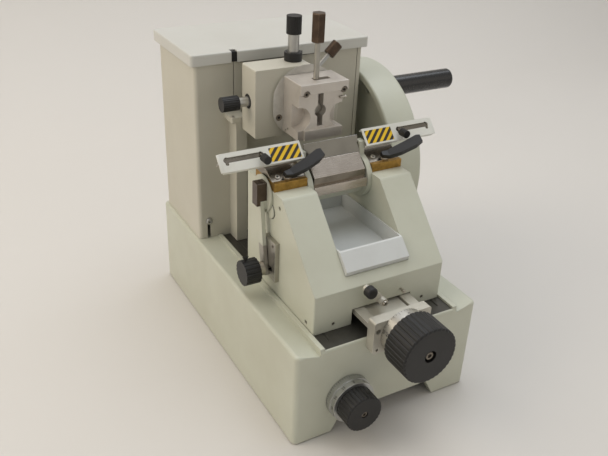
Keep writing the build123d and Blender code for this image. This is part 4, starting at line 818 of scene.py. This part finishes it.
def cut(made: bpy.types.Object, tool: bpy.types.Object) -> bpy.types.Object:
    """Take one shape out of another and throw the tool away."""
    alone(made)
    saw = made.modifiers.new("saw", "BOOLEAN")
    saw.operation = "DIFFERENCE"
    saw.solver = "EXACT"
    saw.object = tool
    bpy.ops.object.modifier_apply(modifier="saw")
    bpy.data.objects.remove(tool, do_unlink=True)
    return made


@dataclass(frozen=True)
class CapScrew:
    """A socket-head cap screw, turned and then broached with a hexagon.

    Attributes:
        radius: Radius of the head in millimetres.
        height: Height of the head above its seat in millimetres.
        socket: Half the width of the hexagon across its corners, in millimetres.
        depth: Depth of the hexagon in millimetres.
    """

    radius: float = 4.5
    height: float = 1.6
    socket: float = 2.4
    depth: float = 1.2

    def model(self) -> bpy.types.Object:
        """Return one screw head that stands on the origin."""
        r, h = self.radius, self.height
        head = turn(((0.0, 0.0), (r, 0.0), (r, h * 0.7), (r * 0.88, h), (0.0, h)), 40)
        bpy.ops.mesh.primitive_cylinder_add(
            vertices=6, radius=self.socket * MM, depth=self.depth * 2 * MM, location=(0.0, 0.0, h * MM)
        )
        return cut(head, bpy.context.object)

    def row(self, places: Iterable[Vector], way: Vector) -> bpy.types.Object:
        """Return one mesh of equal screws.

        Args:
            places: Where the seats are, in metres.
            way: The direction in which the heads point.

        Returns:
            The screws joined.
        """
        first = self.model()
        made = [aimed(twin(first), place, way, 17.0 * i) for i, place in enumerate(places)]
        bpy.data.objects.remove(first, do_unlink=True)
        return together(made)


@dataclass(frozen=True)
class Graduations:
    """Engraved lines round a dial.

    Attributes:
        count: Number of lines round the dial, or in the arc.
        radius: Radius of the drum in millimetres.
        length: Length of a short line in millimetres.
        width: Width of a line in millimetres.
        long_every: Every line of this count is longer.
        arc: Angle that the lines cover, in degrees.
        start: Angle of the first line, in degrees.
    """

    count: int
    radius: float
    length: float = 3.0
    width: float = 0.35
    long_every: int = 5
    arc: float = 360.0
    start: float = 0.0

    def round_drum(self, centre: Vector, way: Vector) -> bpy.types.Object:
        """Lay the lines along the drum's side, starting at one end.

        Args:
            centre: Middle of the drum's end where the lines start.
            way: The direction in which the lines run along the drum.

        Returns:
            The lines joined into one mesh.
        """
        marks = []
        for i in range(self.count):
            run = self.length * (1.6 if i % self.long_every == 0 else 1.0)
            low = Vector((self.radius - 0.1, -self.width / 2, 0.0)) * MM
            high = Vector((self.radius + 0.06, self.width / 2, run)) * MM
            mark = block(low, high)
            bpy.ops.object.transform_apply(location=True, rotation=False, scale=False)
            angle = self.start + self.arc * i / self.count
            mark.data.transform(Matrix.Rotation(math.radians(angle), 4, "Z"))
            marks.append(mark)
        return aimed(together(marks), centre, way)

    def figures(self, centre: Vector, values: Sequence[int], height: float, along: float) -> bpy.types.Object:
        """Set plain numbers round a drum whose axis runs front to back.

        Args:
            centre: Middle of the drum's end from which they are set out.
            values: The numbers, from the top of the drum round to its right.
            height: Height of a digit in millimetres.
            along: Distance from the end to the digits' middle, towards the front, in millimetres.

        Returns:
            The numbers joined into one mesh.
        """
        made = []
        for i, value in enumerate(values):
            angle = 2.0 * math.pi * i / len(values)
            out = Vector((math.sin(angle), 0.0, math.cos(angle)))
            across = Vector((math.cos(angle), 0.0, -math.sin(angle)))
            place = centre + Axis.FRONT.vector() * along * MM + out * (self.radius + 0.03) * MM
            made.append(laid(figure(str(value), height), place, across, out.cross(across)))
        return together(made)


def ring(outer: float, inner: float, height: float) -> bpy.types.Object:
    """Turn a plain washer that stands on the origin, all in millimetres."""
    return turn(((inner, 0.0), (outer, 0.0), (outer, height), (inner, height), (inner, 0.0)), 56)


def laid(made: bpy.types.Object, origin: Vector, across: Vector, up: Vector) -> bpy.types.Object:
    """Lay a flat shape so that its X runs across and its Y runs up.

    Args:
        made: The flat shape at the origin, facing up Z.
        origin: Where its middle goes, in metres.
        across: The direction of its X.
        up: The direction of its Y, square to across.

    Returns:
        The same shape in place.
    """
    turned_to = Matrix((across, up, across.cross(up))).transposed().to_4x4()
    made.data.transform(Matrix.Translation(origin) @ turned_to)
    return made


def figure(text: str, height: float) -> bpy.types.Object:
    """Return plain digits as a thin mesh, centred on the origin and facing up Z."""
    bpy.ops.object.text_add(location=(0.0, 0.0, 0.0))
    made = bpy.context.object
    made.data.body = text
    made.data.size = height * 1.4 * MM
    made.data.extrude = 0.03 * MM
    made.data.resolution_u = 3
    made.data.align_x = "CENTER"
    made.data.align_y = "CENTER"
    alone(made)
    bpy.ops.object.convert(target="MESH")
    return bpy.context.object


def screwed(
    name: str, body: str, cap: CapScrew, places: Sequence[Vector], way: Vector, finish: Finish
) -> None:
    """Put equal screws in place, with dark discs of painted shade at the bottoms of their sockets.

    Args:
        name: Name of the piece that holds the heads.
        body: The CAD body that carries them.
        cap: The kind of screw.
        places: Where the seats are, in metres.
        way: The direction in which the heads point.
        finish: The heads' finish.
    """
    finished(cap.row(places, way), name, body, finish)
    # The dark disc at each socket's bottom is painted shade, not a part.
    bottom = (cap.height - cap.depth + 0.06) * MM
    dark = [aimed(turn(((0.0, 0.0), (cap.socket * 0.84, 0.0), (0.0, 0.08)), 6), p + way * bottom, way) for p in places]
    finished(together(dark), f"{name}_sockets", body, SHADOW_GAP)


class Base:
    """The cast base, its rubber feet and the dark slide bed."""

    def build(self) -> None:
        """Finish the base's nodes."""
        dress(CASTING_ENAMEL, "base_casting")
        dress(RUBBER, "foot_pads")
        dress(BED_IRON, "slide_bed")


class Housing:
    """The sheet housing with its lid, front cover, column and what it hides."""

    column_screw = (-84.6, 279.0)
    notch = ((-78.3, 296.0, 392.5), (-70.2, 304.0, 405.2))
    lip = ((-66.0, 295.2, 390.9), (46.0, 297.0, 391.8))

    def build(self) -> None:
        """Finish the housing's nodes and add its small parts."""
        dress(HOUSING_ENAMEL, "housing_shell", "front_cover", "guide_column", "column_cap", "slot_shutter")
        dress(LID_ENAMEL, "top_lid")
        dress(MACHINED_IRON, "ram_ways", "shaft_bearings", "ram")
        dress(turned("turned_steel_thumbscrew", "housing_screw", Axis.Y), "housing_screw")
        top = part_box("column_cap")[1].z / MM
        cap = CapScrew(radius=2.6, height=1.6, socket=1.4, depth=1.0)
        screwed("column_cap_screw", "frame", cap, [spot(*self.column_screw, top)], Axis.Z.vector(), BRIGHT_SCREW)
        # The dark blocks in the lid's notch and under its lip are painted shadow where only shade falls.
        finished(block(spot(*self.notch[0]), spot(*self.notch[1])), "lid_notch_shadow", "frame", SHADOW_GAP)
        finished(block(spot(*self.lip[0]), spot(*self.lip[1])), "lid_lip_painted_shadow", "frame", SHADOW_GAP)


class Head:
    """The specimen head: block, tilting disc, clamp, knobs and levers."""

    disc_screw = (-41.5, 333.4)
    plate_screws = ((-26.4, 376.0), (28.0, 376.0))
    plate_seat = 189.0
    side_screws = ((216.0, 322.4), (221.5, 318.6))
    stop_pin = (23.0, 187.0, 366.0)
    seal_recess = 1.5

    def build(self) -> None:
        """Finish the head's nodes and add its small parts."""
        dress(HOUSING_ENAMEL, "head_block")
        dress(turned("satin_turned_disc", "tilt_disc", Axis.Y, "#D3D1CA", metallic=0.5), "tilt_disc")
        dress(SATIN_STEEL, "tilt_core")
        dress(CLAMP_ALLOY, "clamp_body")
        dress(turned("turned_side_stem", "side_knob_stem", Axis.X), "side_knob_stem")
        dress(turned("turned_top_stem", "top_knob_stem", Axis.Z), "top_knob_stem")
        dress(turned("turned_lock_lever", "lock_lever", Axis.Y), "lock_lever")
        dress(BLACK_PLASTIC, "side_knob_cap", "top_knob_cap", "knob_index")
        dress(SATIN_STEEL_UP, "clamp_lever")
        dress(DARK_STEEL, "clamp_lever_head")
        self.screws()
        self.side_knob_seal()
        self.lock_grip()

    def screws(self) -> None:
        """Add the disc's and the clamp's screws and the clamp's stop pin."""
        low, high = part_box("tilt_disc")
        face = low.y / MM - BASE_FRONT
        middle = (low.x + high.x) / 2 / MM
        x, z = self.disc_screw
        places = [spot(x, face, z), spot(2 * middle - x, face, z)]
        front = Axis.FRONT.vector()
        screwed("disc_screws", "disc", CapScrew(4.4, 0.4, 2.4, 0.35), places, front, SOCKET_STEEL)
        places = [spot(x, self.plate_seat, z) for x, z in self.plate_screws]
        screwed("clamp_plate_screws", "disc", CapScrew(4.1, 3.2, 2.2, 1.6), places, front, SOCKET_STEEL)
        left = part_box("clamp_body")[0].x / MM
        places = [spot(left, y, z) for y, z in self.side_screws]
        screwed("clamp_side_screws", "disc", CapScrew(1.9, 0.5, 1.0, 0.4), places, Axis.LEFT.vector(), BRIGHT_SCREW)
        pin = turn(((0.0, 0.0), (1.5, 0.0), (1.5, 6.5), (2.1, 7.0), (2.1, 8.6), (1.4, 9.2), (0.0, 9.2)), 24)
        finished(aimed(pin, spot(*self.stop_pin), Axis.X.vector()), "clamp_stop_pin", "disc", BRIGHT_SCREW)

    def side_knob_seal(self) -> None:
        """Add a dark ring of painted shade in the hole that the side knob's stem comes out of."""
        low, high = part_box("side_knob_stem")
        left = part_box("head_block")[0].x
        place = Vector((left + self.seal_recess * MM, (low.y + high.y) / 2, (low.z + high.z) / 2))
        hole = (high.z - low.z) / 2 / MM
        # The dark ring, finished as rubber, is painted shade lying inside the hole.
        hole_shade_ring = aimed(ring(hole, 6.3, self.seal_recess - 0.2), place, Axis.LEFT.vector())
        finished(hole_shade_ring, "side_knob_seal", "head", RUBBER)

    def lock_grip(self) -> None:
        """Sleeve the lock lever's hexagon with its dark knurled grip."""
        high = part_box("lock_lever")[1]
        way = Vector((1.0, 0.0, 1.0)).normalized()
        reach, radius = 19.4, 7.8
        tip = Vector((high.x, (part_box("lock_lever")[0].y + high.y) / 2, high.z)) - Vector((1.0, 0.0, 1.0)) * 5.2 * MM
        profile = [(3.1, 0.0), (radius - 0.9, 0.0), (radius, 0.9), (radius, reach - 1.0), (radius - 1.0, reach)]
        profile += [(0.0, reach)]
        sleeve = turn(profile, 20)
        finished(
            aimed(sleeve, tip - way * (reach - 0.5) * MM, way), "lock_lever_grip", "lock_lever", DARK_STEEL
        )


class Carriage:
    """The knife carriage with its holder, guards, levers and tray."""

    side_screws = ((119.7, 265.6), (49.1, 143.3))
    nose_screws = ((-66.0, 143.3), (66.0, 143.3))
    nose_pin = (30.6, 166.1)
    saddle_screws = ((-84.0, 149.7, 290.8), (56.8, 151.6, 291.7))
    saddle_slope = 25.46
    guard_low = (150.6, 308.97)
    guard_slope = 44.0
    guard_end = 152.8
    stripe = (48.8, 89.6, 2.6, 20.6)
    side_disc = (145.0, 249.3)
    scale_screw = (127.5, 208.6)

    def build(self) -> None:
        """Finish the carriage's nodes and add its small parts."""
        dress(CASTING_ENAMEL, "carriage", "tilt_lever", "knife_holder")
        dress(SADDLE_STEEL, "clamp_saddles", "lower_jaw", "guard_rails", "knife_rest")
        dress(SATIN_STEEL_UP, "lever_shoe", "angle_scale")
        dress(BRONZED_STEEL, "lever_block")
        dress(BRASS, "brass_slips", "feed_nut")
        dress(KNIFE_STEEL, "knife")
        dress(PAD_STEEL, "pressure_plate", "front_bar")
        dress(GUARD_PAINT, "left_guard", "right_guard")
        dress(BLACK_PLASTIC, "left_paddle", "right_paddle", "guard_knobs", "tilt_knob")
        dress(TRAY_ENAMEL, "waste_tray")
        self.screws()
        self.guards()
        self.scale()
        self.knob_trim()

    def screws(self) -> None:
        """Add the screws of the nose, the side and the saddles, and the paddles' collars."""
        low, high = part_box("carriage")
        left, front = low.x / MM, low.y / MM - BASE_FRONT
        small = CapScrew(2.2, 2.2, 1.2, 1.0)
        places = [spot(x, front + 3.0, z) for x, z in self.nose_screws]
        screwed("nose_screws", "carriage", small, places, Axis.FRONT.vector(), SOCKET_STEEL)
        places = [spot(left + 3.0, y, z) for y, z in self.side_screws]
        screwed("side_screws", "carriage", small, places, Axis.LEFT.vector(), SOCKET_STEEL)
        pin = turn(((0.0, 0.0), (1.5, 0.0), (1.5, 5.0), (2.5, 5.4), (2.5, 7.6), (1.9, 8.2), (0.0, 8.2)), 28)
        pin = aimed(pin, spot(self.nose_pin[0], front, self.nose_pin[1]), Axis.FRONT.vector())
        finished(pin, "nose_stop_pin", "carriage", BRIGHT_SCREW)
        slope = math.radians(self.saddle_slope)
        square = Vector((0.0, -math.sin(slope), math.cos(slope)))
        places = [spot(*place) for place in self.saddle_screws]
        screwed("saddle_screws", "carriage", CapScrew(3.2, 1.5, 1.8, 1.2), places, square, BRIGHT_SCREW)
        for name in ("left_paddle", "right_paddle"):
            x = -72.0 if name.startswith("left") else 72.0
            foot = spot(x, 147.0, 289.43) + square * 0.4 * MM
            collar = turn(((3.1, 0.0), (5.4, 0.0), (5.4, 1.0), (4.2, 3.0), (3.1, 3.4), (3.1, 0.0)), 36)
            finished(aimed(collar, foot, square), f"{name}_collar", name, BRIGHT_SCREW)

    def guards(self) -> None:
        """Add the guards' striped films and their rounded ends."""
        slope = math.radians(self.guard_slope)
        up = Vector((0.0, math.sin(slope), math.cos(slope)))
        out = Vector((0.0, -math.cos(slope), math.sin(slope)))
        inner, outer, low, high = self.stripe
        for name, side in (("left_guard", -1.0), ("right_guard", 1.0)):
            film = block(Vector((inner - outer, low - high, -0.4)) * MM / 2, Vector((outer - inner, high - low, 0.4)) * MM / 2)
            middle = spot(side * (inner + outer) / 2, *self.guard_low) + up * (low + high) / 2 * MM
            film = laid(bevelled(film, 0.1, 1), middle, Axis.X.vector(), up)
            finished(film, f"{name}_striped_film", name, STRIPED_FILM)
            lip = block(Vector((-2.6, -11.8, -0.7)) * MM, Vector((2.6, 11.8, 0.7)) * MM)
            middle = spot(side * (self.guard_end + 1.4), *self.guard_low) + (up * 12.0 - out * 0.8) * MM
            lip = laid(bevelled(lip, 0.65, 3), middle, Axis.X.vector(), up)
            finished(lip, f"{name}_rolled_end", name, GUARD_PAINT)
            seat = spot(side * (self.guard_end - 3.0), *self.guard_low) + (up * 12.0 - out * 4.1) * MM
            screwed(f"{name}_rail_nut", "holder", CapScrew(2.2, 8.0, 1.3, 0.8), [seat], Vector((side, 0.0, 0.0)), BRIGHT_SCREW)

    def scale(self) -> None:
        """Add the tilt scale's lines and screw, and the slotted disc above it."""
        low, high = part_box("angle_scale")
        left, front = low.x, low.y
        marks = []
        for i in range(17):
            z = low.z + (6.0 + 2.2 * i) * MM
            run = (5.0 if i % 4 == 0 else 3.0) * MM
            marks.append(
                block(Vector((left - 0.06 * MM, front + 0.8 * MM, z)), Vector((left + 0.1 * MM, front + 0.8 * MM + run, z + 0.35 * MM)))
            )
        finished(together(marks), "tilt_scale_lines", "carriage", ENGRAVING)
        y, z = self.scale_screw
        cap = CapScrew(2.2, 0.7, 1.2, 0.6)
        screwed("tilt_scale_screw", "carriage", cap, [spot(left / MM, y, z)], Axis.LEFT.vector(), SOCKET_STEEL)
        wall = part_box("carriage")[0].x / MM
        y, z = self.side_disc
        disc = turn(((0.0, 0.0), (9.6, 0.0), (9.6, 1.6), (8.9, 2.2), (0.0, 2.2)), 56)
        saw = block(Vector((-12.0, -0.9, 1.3)) * MM, Vector((12.0, 0.9, 4.0)) * MM)
        disc = aimed(cut(disc, saw), spot(wall, y, z), Axis.LEFT.vector(), 60.0)
        finished(disc, "side_pivot_disc", "carriage", CASTING_ENAMEL)
        shade = aimed(ring(10.4, 9.0, 0.2), spot(wall, y, z), Axis.LEFT.vector())
        finished(shade, "side_pivot_shadow", "carriage", SHADOW_GAP)

    def knob_trim(self) -> None:
        """Add the tilt knob's bright bush and its black pointer."""
        low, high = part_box("tilt_knob")
        y, z = (low.y + high.y) / 2, (low.z + high.z) / 2
        sleeve = aimed(ring(9.1, 8.45, 8.2), Vector((high.x - 0.1 * MM, y, z)), Axis.LEFT.vector())
        finished(sleeve, "tilt_knob_bush", "tilt_knob", BRIGHT_SCREW)
        bpy.ops.mesh.primitive_cylinder_add(vertices=3, radius=5.0 * MM, depth=2.0 * MM, location=(0.0, 0.0, 0.0))
        pointer = bpy.context.object
        foot = Vector((low.x + 5.0 * MM, y, high.z + 4.0 * MM))
        pointer = laid(bevelled(pointer, 0.3, 1), foot, Axis.LEFT.vector(), Axis.DOWN.vector())
        finished(pointer, "tilt_knob_pointer", "tilt_knob", BLACK_PLASTIC)


class Feed:
    """The coarse feed with its bracket, dial, big knob and latch."""

    centre = (3.5, 141.2)
    knob_seat = -63.8
    latch_screw = (-8.2, 10.1, 169.6)

    def build(self) -> None:
        """Finish the feed's nodes and add its small parts."""
        dress(BRACKET_ALLOY, "feed_bracket", "latch_arm")
        dress(turned("turned_feed_screw", "feed_screw", Axis.Y), "feed_screw")
        dress(turned("satin_feed_dial", "feed_dial", Axis.Y, "#C9C6BE"), "feed_dial")
        dress(BLACK_PLASTIC, "feed_knob", "latch_knob")
        x, z = self.centre
        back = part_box("feed_dial")[1].y / MM - BASE_FRONT
        front = Axis.FRONT.vector()
        start = spot(x, back - 0.5, z)
        dial = Graduations(count=50, radius=31.0, length=2.6, width=0.4, long_every=5)
        finished(dial.round_drum(start, front), "feed_dial_lines", "feed", ENGRAVING)
        numbers = dial.figures(start, (0, 10, 20, 30, 40), 4.2, 8.6)
        finished(numbers, "feed_dial_numbers", "feed", ENGRAVING)
        seat = spot(x, self.knob_seat, z)
        screwed("feed_knob_screw", "feed", CapScrew(5.6, 4.4, 3.0, 2.4), [seat], front, SOCKET_STEEL)
        screwed("latch_screw", "latch", CapScrew(3.2, 2.4, 1.8, 1.6), [spot(*self.latch_screw)], front, BRIGHT_SCREW)


class Thickness:
    """The section thickness dial on the front."""

    centre = (-59.5, 55.0)
    knob_seat = -34.8

    def build(self) -> None:
        """Finish the dial's nodes and add its small parts."""
        dress(turned("satin_thickness_dial", "thickness_dial", Axis.Y, "#BFC0BE"), "thickness_dial")
        dress(BLACK_PLASTIC, "thickness_knob")
        x, z = self.centre
        front = Axis.FRONT.vector()
        start = spot(x, -0.9, z)
        dial = Graduations(count=60, radius=30.0, length=2.2, width=0.4, long_every=5, arc=360.0)
        finished(dial.round_drum(start, front), "thickness_dial_lines", "thickness", ENGRAVING)
        ring_low = Graduations(count=12, radius=29.0, length=1.6, width=0.5, long_every=20)
        numbers = ring_low.figures(spot(x, -8.6, z), tuple(range(0, 60, 5)), 3.6, 4.4)
        finished(numbers, "thickness_dial_numbers", "thickness", ENGRAVING)
        seat = spot(x, self.knob_seat, z)
        screwed("thickness_knob_screw", "thickness", CapScrew(4.2, 5.2, 2.3, 2.0), [seat], front, SOCKET_STEEL)


class Drive:
    """The handwheel with its grip, and the crankshaft behind it."""

    def build(self) -> None:
        """Finish the drive's nodes and add the grip's end screw."""
        dress(CASTING_ENAMEL, "handwheel")
        dress(turned("turned_crankshaft", "crankshaft", Axis.X), "crankshaft")
        dress(turned("turned_wheel_nut", "wheel_nut", Axis.X), "wheel_nut", "grip_pin")
        dress(GRIP_PLASTIC, "hand_grip")
        low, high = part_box("hand_grip")
        end = Vector((high.x - 0.2 * MM, (low.y + high.y) / 2, (low.z + high.z) / 2))
        screwed("grip_end_screw", "grip", CapScrew(4.6, 1.4, 2.5, 1.0), [end], Axis.X.vector(), SOCKET_STEEL)


FRAME: dict = {}


def main() -> None:
    """Build every sub-assembly in order."""
    logging.basicConfig(level=logging.INFO, format="%(name)s: %(message)s")
    FRAME.update(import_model())
    Studio().build()
    for assembly in (Base(), Housing(), Head(), Carriage(), Feed(), Thickness(), Drive()):
        assembly.build()


if __name__ == "__main__":
    main()
